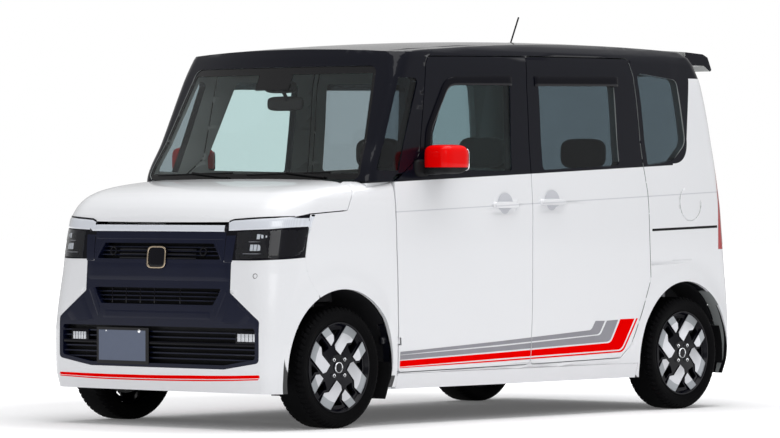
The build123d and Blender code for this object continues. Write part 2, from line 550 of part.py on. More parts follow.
def doors():
    """Hinged front doors with glass and mirrors."""
    nodes = {}
    leaf = with_handle(door(FRONT_DOOR, FRONT_WINDOW), *FRONT_HANDLE)
    x, y = DOOR_HINGE_X, DOOR_HINGE_Y
    for z in DOOR_HINGES:
        boss = rod((x, y, z), (x, y, z + 28), 13) + box(x - 22, x, y - 9, y + 15, z, z + 28)
        leaf = leaf - rod((x, y, z - 36), (x, y, z), 17) + boss
        lean = math.radians(HINGE_LEAN)
        reach = (x - 7 + 80 * math.cos(lean), y - 6 - 80 * math.sin(lean))
        notch = side_by_side([(x - 7, y - 6), reach, (x + 80, y - 60), (x + 60, y + 27), (x, y)], z - 28, z - 2)
        leaf = leaf - notch - rod((x, y, z - 40), (x, y, z + 33), HINGE_PIN + RUN_FIT)
    case = extrude(rounded([(738, 1142, 25), (868, 1136, 45), (882, 1215, 60), (862, 1284, 35), (742, 1278, 45)],
                           lambda u, v: Vector(560, u, v)), amount=130, dir=(1, 0, 0))
    plan = side_by_side([(556, 730), (556, 890), (640, 890), (676, 850), (690, 790), (672, 730)], 1100, 1300)
    mirror_head = case & plan
    glass_seat = [(752, 1156, 20), (856, 1150, 35), (868, 1215, 45), (850, 1270, 25), (756, 1264, 30)]
    mirror_head -= extrude(rounded(glass_seat, lambda u, v: Vector(560, u, v)), amount=6, dir=(1, 0, 0))
    foot = side_by_side([(596, 690), (690, 690), (680, 748), (606, 748)], 1138, 1166)
    glass = pane(FRONT_WINDOW)
    mirror_piece = mirror_head + (foot - OUTER - Pos(0, SEAT_GAP, 0) * OUTER)
    for side, f in (("left", lambda s: s), ("right", mirrored)):
        nodes["front_%s_door" % side] = f(leaf)
        nodes["front_%s_door_glass" % side] = f(glass)
        nodes["%s_mirror" % side] = f(mirror_piece)
    return nodes


def tailgate():
    """Rear door with its glass and spoiler."""
    behind = box(-1800, TAILGATE_HINGE[0], -900, 900, 0, 1900)
    outer = OUTER_LAYER & front_prism(grown(TAILGATE, -SHUT_GAP / 2), -1800, TAILGATE_HINGE[0])
    inner = INNER_LAYER & front_prism(grown(TAILGATE, -SHUT_GAP - REBATE + SHUT_GAP / 2), -1800,
                                      TAILGATE_HINGE[0] - 25)
    leaf = (outer + inner) & behind
    x, z = TAILGATE_HINGE
    leaf += cylinder_y(x, z, TAIL_ROLL, -575, 575) & OUTER
    slot = cylinder_y(x, z, TAIL_ROLL + 6, 334, 355) + cylinder_y(x, z, HINGE_PIN - 1 + RUN_FIT, 317, 335)
    leaf = leaf - slot - mirrored(slot)
    window = front_prism(TAILGATE_WINDOW, -1800, -1430)
    leaf -= window
    glass = PANE & front_prism(grown(TAILGATE_WINDOW, -SEAT_GAP), -1800, -1430)
    blade = extrude(rounded([(-1450, 1790, 0), (-1450, 1690, 0), (-1600, 1690, 0), (-1652, 1662, 6), (-1664, 1670, 4),
                             (-1632, 1732, 12), (-1540, 1766, 0)], lambda u, v: Vector(u, -590, v)),
                    amount=1180, dir=(0, 1, 0))
    spoiler = (blade & roof_cap(-6)) - (form(CABIN_HIGH, -SEAT_GAP) & roof_cap(-SEAT_GAP))
    return {"tailgate": leaf, "tailgate_glass": glass, "rear_spoiler": spoiler}


def spin(points):
    """Turned piece about the Y axis from its corners (radius, distance along the axle)."""
    corners = [(radius, y, 0) for radius, y in points]
    edges = [Line(a, b) for a, b in zip(corners, corners[1:] + corners[:1])]
    return revolve(Face(Wire(edges)), Axis.Y, 360)


def across(corners, y, depth):
    """Outline on a wheel's face (towards the rear, up, corner radius) carried along the axle."""
    return extrude(rounded(corners, lambda u, v: Vector(-u, y, v)), amount=depth, dir=(0, 1, 0))


def wheel():
    """Rim with hub and brake disc, and tyre, left side, at the origin with its axle along Y."""
    y0, y1 = -TYRE_WIDTH / 2, TYRE_WIDTH / 2
    r, w = RIM_RADIUS, RIM_WALL
    barrel = [(r + 14, y0 + 8), (r + 14, y0 + 14), (r, y0 + 24), (r, y1 - 24), (r + 14, y1 - 14), (r + 14, y1 - 8),
              (r + 8, y1 - 8), (r - w, y1 - 26), (r - w, y0 + 20)]
    disc = [(20 + RUN_FIT, 12), (20 + RUN_FIT, -17), (150, -17), (150, -7), (70, -7), (70, 38), (120, 43),
            (r - 4, 44), (r + 7, 62)]
    rim = spin(barrel) + spin(disc + SPOKE_FACE[::-1] + [(0, 12)])
    raised = spin([(20, 45)] + [(radius, y + FACET_T) for radius, y in SPOKE_FACE[1:]] + [(SPOKE_FACE[-1][0], 45)])
    facets = across([(u, v, 0) for u, v in LONG_FACET], 0, y1) + across([(u, v, 0) for u, v in SHORT_FACET], 0, y1)
    facets &= raised
    windows = across(SPOKE_WINDOWS[0], 0, y1) + across(SPOKE_WINDOWS[1], 0, y1)
    face_y = SPOKE_FACE[0][1]
    rim += rod((0, face_y - 6, 0), (0, face_y + 6, 0), CAP_RADIUS)
    for i in range(FACETS):
        turn = 360 / FACETS * i
        rim = rim - windows.rotate(Axis.Y, turn) + facets.rotate(Axis.Y, turn)
        rim += rod((0, face_y - 6, NUT_CIRCLE), (0, face_y + 5, NUT_CIRCLE), NUT_RADIUS).rotate(Axis.Y, turn + 45)
    R = TYRE_RADIUS
    outside = [(r + 14, y0 + 2), (r + 24, y0), (r + 45, y0), (R - 14, y0 + 8), (R - 2, y0 + 26), (R, 0),
               (R - 2, y1 - 26), (R - 14, y1 - 8), (r + 45, y1), (r + 24, y1), (r + 14, y1 - 2)]
    inside = [(r + 14, y1 - 7.7), (r + 26, y1 - 10), (R - 22, y1 - 18), (R - 12, y1 - 34), (R - 12, y0 + 34),
              (R - 22, y0 + 18), (r + 26, y0 + 10), (r + 14, y0 + 7.7)]
    tyre = spin([(p[0] + 0.3 if p[0] == r + 14 else p[0], p[1]) for p in outside + inside])
    return rim, tyre


def running_gear():
    """Wheels, knuckles with struts, subframe, steering and rear axle."""
    nodes = {}
    rim, tyre = wheel()
    for name, x in (("front", FRONT_AXLE_X), ("rear", REAR_AXLE_X)):
        place = Pos(x, WHEEL_Y, TYRE_RADIUS)
        for side, f in (("left", lambda s: s), ("right", mirrored)):
            nodes["%s_%s_rim" % (name, side)] = f(place * rim)
            nodes["%s_%s_tyre" % (name, side)] = f(place * tyre)
    ax, hub = FRONT_AXLE_X, TYRE_RADIUS
    top = KING_HIGH[1]
    arm_end = (ax - STEER_ARM, king(262) - 10)
    knuckle = rod((ax, 556, hub), (ax, 602, hub), 45)
    knuckle += rod((ax, 600, hub), (ax, WHEEL_Y + 10, hub), 20)
    knuckle += rod((ax, 585, hub), (ax, king(195), 195), 12) + rod((ax, king(182), 182), (ax, king(206), 206), 12.5)
    knuckle += rod((ax, 580, hub), (ax, 522, 390), 18)
    knuckle += rod((ax, 585, 262), (arm_end[0], arm_end[1], 262), 11) + rod(arm_end + (249,), arm_end + (275,), 14)
    knuckle += rod((ax, 522, 380), (ax, 528, 560), 24) + rod((ax, 526, 545), (ax, king(640), 640), 24)
    strut = [(0, 625), (62, 625), (62, 635), (47, 635)]
    for i in range(6):
        z = 648 + 34 * i
        strut += [(47, z), (57, z + 4), (57, z + 12), (47, z + 16)]
    strut += [(47, 846), (62, 846), (62, 856), (STRUT_ROD, 856), (STRUT_ROD, top + 26), (0, top + 26)]
    knuckle += lathe(strut, (ax, king(0), 0), (ax, king(top), top))
    knuckle -= rod((ax, king(150), 150), (ax, king(208), 208), BALL_PIN + RUN_FIT)
    nodes["left_knuckle"] = knuckle
    nodes["right_knuckle"] = mirrored(knuckle)
    arm = extrude(rounded([(ax - 22, 617, 20), (ax + 22, 617, 20), (ax + 60, 340, 20), (ax - 170, 340, 20),
                           (ax - 40, 500, 30)],
                          lambda u, v: Vector(u, v, 140)), amount=22, dir=(0, 0, 1))
    arm += rod((ax, king(150), 150), (ax, king(204), 204), BALL_PIN)
    rack_x, rack_z = 1120, 223
    frame = box(1060, 1330, -400, 400, 150, 200) + arm + mirrored(arm)
    frame += rod((rack_x, -300, rack_z), (rack_x, 300, rack_z), 24) + box(1100, 1140, -120, -80, 190, rack_z)
    frame += box(1100, 1140, 140, 180, 190, rack_z)
    frame -= rod((rack_x, -400, rack_z), (rack_x, 400, rack_z), RACK_BAR + RUN_FIT)
    nodes["front_subframe"] = frame
    bar = rod((rack_x, -400, rack_z), (rack_x, 400, rack_z), RACK_BAR)
    link = rod((rack_x, 396, rack_z), arm_end + (rack_z,), 7)
    link += rod(arm_end + (rack_z - 8,), arm_end + (rack_z + 8,), 13)
    nodes["tie_rods"] = bar + link + mirrored(link)
    rear = rod((REAR_AXLE_X, WHEEL_Y + 10, hub), (REAR_AXLE_X, 540, hub), 20)
    rear += rod((REAR_AXLE_X, 560, hub), (REAR_AXLE_X, 508, hub), 45)
    rear += box(REAR_AXLE_X - 40, REAR_AXLE_X + 40, 470, 540, 215, 275)
    rear += box(REAR_AXLE_X - 97, -880, 470, 506.7, 215, 275)
    beam = box(-1080, -1000, -500, 500, 225, 275)
    nodes["rear_axle"] = beam + rear + mirrored(rear)
    reach = REAR_ARCH.x - (REAR_AXLE_X - 75) + 18
    head = REAR_ARCH.z + math.sqrt(REAR_ARCH.radius**2 - reach**2) - SEAT_GAP
    nodes["rear_dampers"] = both(rod((REAR_AXLE_X - 75, 525, 225), (REAR_AXLE_X - 75, 525, head), 18))
    return nodes


def inside():
    """Dashboard, steering wheel and seats."""
    nodes = {}
    room = cabin(WALL_LOW + 2, WALL_HIGH + 2, 40)
    dash = extrude(rounded([(939.7, 620, 0), (939.7, 1045, 0), (860, 1060, 40), (700, 1000, 40), (690, 860, 30),
                            (820, 640, 30)], lambda u, v: Vector(u, -640, v)), amount=1280, dir=(0, 1, 0)) & room
    lean = math.radians(28)
    hub = Vector(600, -330, 960)
    along = Vector(math.cos(lean), 0, -math.sin(lean))
    column = rod(tuple(hub + along * 0.3), tuple(hub + along * 140), 28)
    nodes["dashboard"] = dash + column
    plane = Plane(origin=hub, z_dir=along * -1)
    ring = plane * Torus(176, 13)
    wheel_hub = extrude(plane * Circle(58), amount=30) + extrude(plane * Rectangle(330, 34), amount=14)
    wheel_hub += extrude(plane * (Pos(0, -85) * Rectangle(34, 170)), amount=14)
    nodes["steering_wheel"] = ring + wheel_hub - extrude(plane * Circle(200), amount=-30)
    front = []
    for y in (-330, 330):
        seat = extrude(rounded(seat_profile(), lambda u, v: Vector(u - 90, y - 245, v)), amount=490, dir=(0, 1, 0))
        front.append(seat)
    nodes["front_seats"] = front
    back = []
    for y in (-1, 1):
        seat = extrude(rounded(seat_profile(), lambda u, v: Vector(u - 960, 10 if y > 0 else -490, v)), amount=480,
                       dir=(0, 1, 0))
        back.append(seat)
    nodes["rear_seats"] = back
    frames = []
    for x, ys in ((-20, (-330, 330)), (-890, (-260, 260))):
        for y in ys:
            frames.append(box(x, x + 400, y - 200, y + 200, FLOOR_Z, 499.7))
    nodes["seat_frames"] = frames
    return nodes


def underneath():
    """Engine, tank, exhaust, sills and trim."""
    nodes = {}
    nodes["engine_block"] = box(1170, 1520, -370, 370, 310, 790)
    nodes["fuel_tank"] = fillet(box(150, 760, -380, 380, 175, FLOOR_Z - FLOOR_T).edges().group_by(Axis.Z)[0], 40)
    route = [(1169.7, -240, 345), (1010, -240, 268), (860, -430, 200), (-1400, -430, 200)]
    pipe = Part()
    for start, end in zip(route, route[1:]):
        pipe += rod(start, end, PIPE_RADIUS)
    for corner in route[1:3]:
        pipe += Pos(*corner) * Sphere(PIPE_RADIUS)
    pipe &= box(-1700, 1169.7, -800, 0, 0, 900)
    silencer = fillet(box(-1600, -1390, -545, -200, 190, 300).edges(), 30)
    hanger = box(-1500, -1480, -400, -380, 290, FLOOR_Z - FLOOR_T - SEAT_GAP)
    tail_pipe = rod((-1590, -480, 203), (-1642, -480, 196), PIPE_RADIUS, PIPE_RADIUS - 3)
    nodes["exhaust"] = pipe + silencer + hanger + tail_pipe
    skirt = COVER_LAYER & box(-899, 849, 600, 900, 160, 234)
    nodes["side_skirts"] = both(skirt)
    nodes["antenna"] = rod((-808, 0, 1789.4), (-808, 0, 1799), 16) + rod((-808, 0, 1796), (-870, 0, 1925), 4)
    flaps = []
    for arch, y0, y1, z0, z1 in ((FRONT_ARCH, 575, 700, 122, 290), (REAR_ARCH, 580, 680, 215, 400)):
        sheet = arch_space(arch, -SEAT_GAP) - arch_space(arch, -5)
        flaps += both(sheet & box(arch.x - 400, arch.x - 250, y0, y1, z0, z1))
    nodes["mud_flaps"] = flaps
    return nodes


ALL = {}
for make in (body, floor, nose, structure, doors, tailgate, running_gear, inside, underneath):
    ALL.update(make())
write(ALL)
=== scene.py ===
"""Tall light car: finished skins, glass, lamps, wheels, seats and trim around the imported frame.

Everything is in metres in the car's frame: +X forward, +Y to the car's left, +Z up.
"""
import json
import logging
import math
from dataclasses import dataclass
from enum import Enum

import bmesh
import bpy
import numpy as np
from mathutils import Matrix, Vector
from mathutils.bvhtree import BVHTree

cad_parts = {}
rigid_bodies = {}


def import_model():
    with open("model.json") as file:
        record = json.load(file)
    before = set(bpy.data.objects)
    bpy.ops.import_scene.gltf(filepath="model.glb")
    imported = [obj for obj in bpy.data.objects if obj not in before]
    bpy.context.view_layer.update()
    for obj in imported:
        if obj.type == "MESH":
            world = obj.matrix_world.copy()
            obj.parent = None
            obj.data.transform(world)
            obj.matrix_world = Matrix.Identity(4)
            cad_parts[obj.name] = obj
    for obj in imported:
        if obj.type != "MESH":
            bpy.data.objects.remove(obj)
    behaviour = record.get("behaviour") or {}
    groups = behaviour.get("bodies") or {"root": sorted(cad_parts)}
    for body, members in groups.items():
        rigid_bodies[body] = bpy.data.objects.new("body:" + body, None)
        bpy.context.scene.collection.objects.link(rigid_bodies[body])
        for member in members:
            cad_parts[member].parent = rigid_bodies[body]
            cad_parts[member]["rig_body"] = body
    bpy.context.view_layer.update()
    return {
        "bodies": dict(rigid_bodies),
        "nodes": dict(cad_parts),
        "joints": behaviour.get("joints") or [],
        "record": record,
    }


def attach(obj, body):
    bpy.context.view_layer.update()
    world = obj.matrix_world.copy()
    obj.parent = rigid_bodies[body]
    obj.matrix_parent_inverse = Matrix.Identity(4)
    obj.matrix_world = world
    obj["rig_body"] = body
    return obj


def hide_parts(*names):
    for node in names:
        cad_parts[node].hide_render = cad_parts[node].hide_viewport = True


LOG = logging.getLogger("tall_light_car")
Socket = bpy.types.NodeSocket
Material = bpy.types.Material
Piece = bpy.types.Object
Surface = tuple[np.ndarray, np.ndarray]       # vertices, and the vertex numbers of each quad

FRONT_AXLE_X = 1.252
REAR_AXLE_X = -1.268
WHEEL_Y = 0.640
HUB_Z = 0.274
SIDE_RADIUS = 45.0            # plan radius of the bowed sides
ARCHES = ((1.237, 0.276, 0.350), (-1.274, 0.264, 0.361))      # wheel arches: middle (x, z) and radius
FLARE = 0.013                 # how far the arch lips stand out
FLARE_WIDTH = 0.045
FLARE_FREE = (0.50, 0.90)     # no flare between these stations, round the front doors' leading edges
FLARE_INNER_Y = 0.62          # none nearer the middle line than this
ARCH_SHADE_AND_LINER_REACH = 0.025           # how far the painted arch shade, standing also for dark liners, reaches past an arch's edge
SKIN_INSIDE_Y = 0.709         # inner face of the side skins
ROOF_LINING_Z = 1.6           # faces turned down above this height are lining


class Side(Enum):
    """Which side of the car a piece is on; the value is the sign of Y."""

    LEFT = 1
    RIGHT = -1

    @property
    def word(self) -> str:
        """The side's name in node names."""
        return self.name.lower()

    @property
    def mirrored(self) -> bool:
        """Whether a left-hand shape has to be turned over for this side."""
        return self is Side.RIGHT


# ---- shader graphs ---------------------------------------------------------------------------------------
class Graph:
    """The shader nodes of one material, added by short calls."""

    def __init__(self, name: str) -> None:
        """Starts an empty material.

        Args:
            name: the material's name.
        """
        self.material = bpy.data.materials.new(name)
        self.material.use_nodes = True
        self.tree = self.material.node_tree
        self.tree.nodes.clear()
        self.output = self.tree.nodes.new("ShaderNodeOutputMaterial")
        self._place: tuple[Socket, Socket, Socket] | None = None

    def node(self, kind: str, inputs: dict | None = None, **settings: object) -> bpy.types.Node:
        """Adds a node.

        Args:
            kind: the node's type name without its ShaderNode prefix.
            inputs: values or sockets by input name or number.
            **settings: the node's own properties.

        Returns:
            The new node.
        """
        node = self.tree.nodes.new("ShaderNode" + kind)
        for key, value in settings.items():
            setattr(node, key, value)
        for key, value in (inputs or {}).items():
            if isinstance(value, bpy.types.NodeSocket):
                self.tree.links.new(value, node.inputs[key])
            else:
                node.inputs[key].default_value = value
        return node

    def math(self, operation: str, *values: object) -> Socket:
        """One Math node on numbers or sockets."""
        return self.node("Math", dict(enumerate(values)), operation=operation).outputs[0]

    @property
    def place(self) -> tuple[Socket, Socket, Socket]:
        """The X, Y and Z of Object coordinates."""
        if self._place is None:
            coordinates = self.node("TexCoord").outputs["Object"]
            split = self.node("SeparateXYZ", {0: coordinates})
            self._place = (split.outputs[0], split.outputs[1], split.outputs[2])
        return self._place

    @property
    def inward(self) -> Socket:
        """1 on faces turned to the car's middle line or middle, and on high ones that are turned down."""
        normal = self.node("SeparateXYZ", {0: self.node("TexCoord").outputs["Normal"]})
        x, y, z = self.place
        across = self.math("MULTIPLY", self.math("MULTIPLY", normal.outputs[1], y), -1.0)
        along = self.math("MULTIPLY", self.math("MULTIPLY", normal.outputs[0], x), -0.4)
        under = self.math("MULTIPLY", self.math("MULTIPLY", normal.outputs[2], -0.5),
                          self.step(z, ROOF_LINING_Z))
        return self.step(self.math("MAXIMUM", self.math("MAXIMUM", across, along), under), 0.30, 0.01)

    @property
    def in_arch(self) -> Socket:
        """1 on faces behind the side skins that lie within a wheel arch's cylinder; the paints turn these
        near-black, painted shade of the arches that also stands for their dark liners.
        """
        x, y, z = self.place
        inside = []
        for middle_x, middle_z, radius in ARCHES:
            reach = self.powers(self.math("SUBTRACT", x, middle_x), self.math("SUBTRACT", z, middle_z))
            inside.append(self.step(reach, (radius + ARCH_SHADE_AND_LINER_REACH) ** 2))
        behind = self.below(self.math("ABSOLUTE", y), SKIN_INSIDE_Y)
        return self.math("MULTIPLY", behind, self.math("SUBTRACT", 1.0, self.math("MULTIPLY", *inside)))

    def step(self, value: Socket, edge: object, soft: float = 0.0006) -> Socket:
        """0 below an edge and 1 above it, eased over a soft width."""
        shifted = self.math("SUBTRACT", value, edge)
        return self.node("MapRange", {0: shifted, 1: -soft, 2: soft, 3: 0.0, 4: 1.0}, clamp=True).outputs[0]

    def below(self, value: Socket, edge: object, soft: float = 0.0006) -> Socket:
        """1 below an edge and 0 above it, eased over a soft width."""
        return self.math("SUBTRACT", 1.0, self.step(value, edge, soft))

    def powers(self, a: Socket, b: Socket, power: float = 2.0) -> Socket:
        """|a|^power + |b|^power."""
        first, second = (self.math("POWER", self.math("ABSOLUTE", value), power) for value in (a, b))
        return self.math("ADD", first, second)

    def shown(self, shader: bpy.types.Node) -> Material:
        """Closes the graph with a shader and returns the material."""
        self.tree.links.new(shader.outputs[0], self.output.inputs[0])
        return self.material

    def noise(self, scale: float, detail: float = 2.0) -> Socket:
        """Fractal noise on Object coordinates.

        Args:
            scale: cells in a metre.
            detail: octaves.

        Returns:
            The noise value, about 0.5 in the middle.
        """
        coordinates = self.node("TexCoord").outputs["Object"]
        return self.node("TexNoise", {"Vector": coordinates, "Scale": scale, "Detail": detail}).outputs[0]

    def mix(self, factor: object, a: object, b: object) -> Socket:
        """A colour between two colours.

        Args:
            factor: 0 for the first, 1 for the second.
            a: the first colour or socket.
            b: the second.

        Returns:
            The mixed colour.
        """
        mixer = self.node("Mix", {"Factor": factor}, data_type="RGBA")
        for slot, value in ((6, a), (7, b)):
            if isinstance(value, bpy.types.NodeSocket):
                self.tree.links.new(value, mixer.inputs[slot])
            else:
                mixer.inputs[slot].default_value = (*value[:3], 1.0)
        return mixer.outputs[2]

    def varied(self, colour: tuple, noise: Socket, amount: float) -> Socket:
        """A colour that drifts lighter and darker with a noise."""
        low = tuple(c * (1.0 - amount) for c in colour)
        high = tuple(min(1.0, c * (1.0 + amount)) for c in colour)
        return self.mix(noise, low, high)

    def bump(self, height: Socket, strength: float, distance: float) -> Socket:
        """A bumped normal."""
        return self.node("Bump", {"Height": height, "Strength": strength, "Distance": distance}).outputs[0]

    def skin_reflection(self, base: float, normal: Socket) -> Socket:
        """How much a thin pane's skin mirrors, alike from both sides: base + 0.9 (1 - |cos|)^5.

        Args:
            base: the share seen square on.
            normal: the pane's normal.

        Returns:
            The share.
        """
        facing = self.node("LayerWeight", {"Blend": 0.5, "Normal": normal}).outputs["Facing"]
        return self.math("MULTIPLY_ADD", self.math("POWER", facing, 5.0), 0.9, base)

    def surface(self, **inputs: object) -> Material:
        """Closes the graph with a Principled shader.

        Args:
            **inputs: values or sockets by input name, with underscores for spaces.

        Returns:
            The finished material.
        """
        named = {key.replace("_", " "): value for key, value in inputs.items()}
        for key in ("Base Color", "Coat Tint", "Emission Color"):
            if key in named and not isinstance(named[key], bpy.types.NodeSocket):
                named[key] = (*named[key][:3], 1.0)
        return self.shown(self.node("BsdfPrincipled", named))


@dataclass(frozen=True)
class Paint:
    """Clear-coated paint in one colour, with fine flake and a trace of orange peel."""

    name: str
    colour: tuple
    flake: float = 0.04
    roughness: float = 0.32
    specular: float = 0.5
    coat: float = 1.0
    lining: tuple | None = None

    def material(self) -> Material:
        """Builds the paint, with a lining on the faces that look inward when it has one."""
        graph = Graph(self.name)
        flake = graph.noise(2600.0, 1.0)
        peel = graph.noise(160.0, 1.0)
        # near-black in the wheel arches: painted shade, standing also for dark arch liners
        colour = graph.mix(graph.in_arch, graph.varied(self.colour, flake, self.flake),
                           (0.004, 0.004, 0.005))
        if self.lining:
            colour = graph.mix(graph.inward, colour, self.lining)
        return graph.surface(
            Base_Color=colour, Roughness=self.roughness, Coat_Weight=self.coat, Coat_IOR=1.25,
            Specular_IOR_Level=self.specular, Coat_Roughness=0.04,
            Coat_Normal=graph.bump(peel, 0.02, 0.0004))


@dataclass(frozen=True)
class TwoTonePaint:
    """Body paint: white below the belt and on the rear pillars, black round the windows."""

    name: str = "two_tone_paint"
    white: tuple = (0.85, 0.86, 0.885)
    black: tuple = (0.003, 0.0035, 0.008)
    belt_front_z: float = 1.1085
    belt_slope: float = -0.041
    belt_front_x: float = 0.884
    lining: tuple = (0.30, 0.32, 0.32)
    pillar_top: float = 1.621
    corner_x: float = -1.203
    corner_z: float = 1.322
    corner_dx: float = 0.128
    corner_dz: float = 0.120
    corner_lean: float = 1.1
    corner_power: float = 2.4
    # painted shade line of the side crease: its height, slope, half width and colour
    crease_z: float = 1.0045
    crease_slope: float = -0.0375
    crease_half: float = 0.0022
    crease_shade: tuple = (0.60, 0.61, 0.65)

    def material(self) -> Material:
        """Black where z is over the belt line, except behind the rounded rear edge of the quarter windows.

        A soft painted shade line |z - (crease_z + crease_slope x)| < crease_half runs through the door
        handles, standing for the shading of the side's crease.
        """
        graph = Graph(self.name)
        x, _, z = graph.place
        along = graph.math("SUBTRACT", x, self.belt_front_x)
        belt = graph.math("MULTIPLY_ADD", along, self.belt_slope, self.belt_front_z)
        over_belt = graph.step(z, belt)
        behind = graph.math("DIVIDE", graph.math("MINIMUM", graph.math("SUBTRACT", x, self.corner_x), 0.0),
                            self.corner_dx)
        below = graph.math("DIVIDE", graph.math("MINIMUM", graph.math("SUBTRACT", z, self.corner_z), 0.0),
                           self.corner_dz)
        above = graph.math("MAXIMUM", graph.math("SUBTRACT", z, self.corner_z), 0.0)
        lean = graph.math("MULTIPLY", above, self.corner_lean)
        spread = graph.math("ADD", behind, lean)
        bulge = graph.powers(graph.math("MINIMUM", spread, 0.0), below, self.corner_power)
        past_edge = graph.step(graph.math("SQRT", bulge), 1.0, 0.004)
        past_corner = graph.math("MULTIPLY", past_edge, graph.below(x, self.corner_x))
        pillar = graph.math("MULTIPLY", past_corner, graph.below(z, self.pillar_top))
        dark = graph.math("MULTIPLY", over_belt, graph.math("SUBTRACT", 1.0, pillar))
        flake = graph.noise(2600.0, 1.0)
        # painted shade line along the side crease, in crease_shade
        crease = graph.math("MULTIPLY_ADD", x, self.crease_slope, self.crease_z)
        from_crease = graph.math("ABSOLUTE", graph.math("SUBTRACT", z, crease))
        line = graph.below(from_crease, self.crease_half, 0.0018)
        white = graph.mix(line, graph.varied(self.white, flake, 0.02), self.crease_shade)
        peel = graph.noise(160.0, 1.0)
        # black in the wheel arches too: painted shade, standing also for dark arch liners
        skin = graph.mix(graph.math("MAXIMUM", dark, graph.in_arch), white, self.black)
        inner = graph.inward
        return graph.surface(
            Base_Color=graph.mix(inner, skin, self.lining), Roughness=0.34, Coat_IOR=1.25,
            Coat_Roughness=0.04,
            Coat_Weight=graph.math("SUBTRACT", 1.0, inner),
            Specular_IOR_Level=graph.math("MULTIPLY_ADD", dark, -0.46, 0.5),
            Coat_Normal=graph.bump(peel, 0.02, 0.0004))


@dataclass(frozen=True)
class Moulding:
    """Grained plastic or rubber with a fine leathery or sandy bump."""

    name: str
    colour: tuple
    roughness: float = 0.55
    grain: float = 900.0
    depth: float = 0.15
    coat: float = 0.0
    specular: float = 0.22

    def material(self) -> Material:
        """Builds the moulding."""
        graph = Graph(self.name)
        grain = graph.noise(self.grain, 3.0)
        cloud = graph.noise(9.0, 2.0)
        rough = graph.math("MULTIPLY_ADD", cloud, 0.12, self.roughness - 0.06)
        return graph.surface(Base_Color=graph.varied(self.colour, cloud, 0.12), Roughness=rough,
                             Coat_Weight=self.coat,
                             Specular_IOR_Level=self.specular, Coat_Roughness=0.08,
                             Normal=graph.bump(grain, self.depth, 0.0004))


@dataclass(frozen=True)
class PlateFace:
    """Blank blue-grey plate with a black frame round it."""

    name: str = "plate_face"
    colour: tuple = (0.125, 0.150, 0.215)
    box: tuple = (-0.360, -0.063, 0.297, 0.435)

    def material(self) -> Material:
        """Black where y or z is outside the box of the face."""
        graph = Graph(self.name)
        _, y, z = graph.place
        left, right, low, high = self.box
        inside = graph.math("MULTIPLY", graph.step(y, left), graph.below(y, right))
        level = graph.math("MULTIPLY", graph.step(z, low), graph.below(z, high))
        face = graph.math("MULTIPLY", inside, level)
        cloud = graph.noise(30.0, 2.0)
        return graph.surface(Base_Color=graph.mix(face, (0.006, 0.006, 0.008),
                                                  graph.varied(self.colour, cloud, 0.04)),
                             Roughness=0.42, Specular_IOR_Level=0.25)


@dataclass(frozen=True)
class Metal:
    """Bare or plated metal, brushed or cast."""

    name: str
    colour: tuple
    roughness: float = 0.3
    grain: float = 500.0
    depth: float = 0.1

    def material(self) -> Material:
        """Builds the metal."""
        graph = Graph(self.name)
        grain = graph.noise(self.grain, 2.0)
        cloud = graph.noise(14.0, 2.0)
        rough = graph.math("MULTIPLY_ADD", cloud, 0.16, self.roughness - 0.08)
        return graph.surface(Base_Color=graph.varied(self.colour, cloud, 0.08), Metallic=1.0,
                             Roughness=rough,
                             Normal=graph.bump(grain, self.depth, 0.0003))


@dataclass(frozen=True)
class FacetSilver:
    """Machined wheel facets, turned dull beyond a circle round the hub."""

    name: str = "machined_silver"
    bright: tuple = (0.64, 0.65, 0.68)
    dull: tuple = (0.34, 0.36, 0.38)
    edge: float = 0.158

    def material(self) -> Material:
        """Dull where the distance from the nearer axle line passes the edge, with fine turning marks."""
        graph = Graph(self.name)
        x, _, z = graph.place
        across = graph.math("MINIMUM", graph.math("ABSOLUTE", graph.math("SUBTRACT", x, FRONT_AXLE_X)),
                            graph.math("ABSOLUTE", graph.math("SUBTRACT", x, REAR_AXLE_X)))
        reach = graph.math("SQRT", graph.powers(across, graph.math("SUBTRACT", z, HUB_Z)))
        marks = graph.math("SINE", graph.math("MULTIPLY", reach, 9000.0))
        colour = graph.mix(graph.step(reach, self.edge, 0.001), self.bright, self.dull)
        return graph.surface(Base_Color=colour, Metallic=0.75, Roughness=0.34,
                             Normal=graph.bump(marks, 0.02, 0.0001))


@dataclass(frozen=True)
class Pane:
    """Tinted glass or a lamp cover: a see-through sheet with a mirror-like skin."""

    name: str
    tint: tuple
    reflect: float = 0.07
    roughness: float = 0.0

    def material(self) -> Material:
        """Mixes a tinted transparent sheet with more gloss towards grazing views, with faint waviness."""
        graph = Graph(self.name)
        wave = graph.bump(graph.noise(1.2, 0.0), 0.004, 0.001)
        clear = graph.node("BsdfTransparent", {"Color": (*self.tint, 1.0)})
        gloss = graph.node("BsdfGlossy", {"Color": (1.0, 1.0, 1.0, 1.0), "Roughness": self.roughness,
                                          "Normal": wave})
        factor = graph.skin_reflection(self.reflect, wave)
        mixer = graph.node("MixShader", {0: factor, 1: clear.outputs[0], 2: gloss.outputs[0]})
        return graph.shown(mixer)


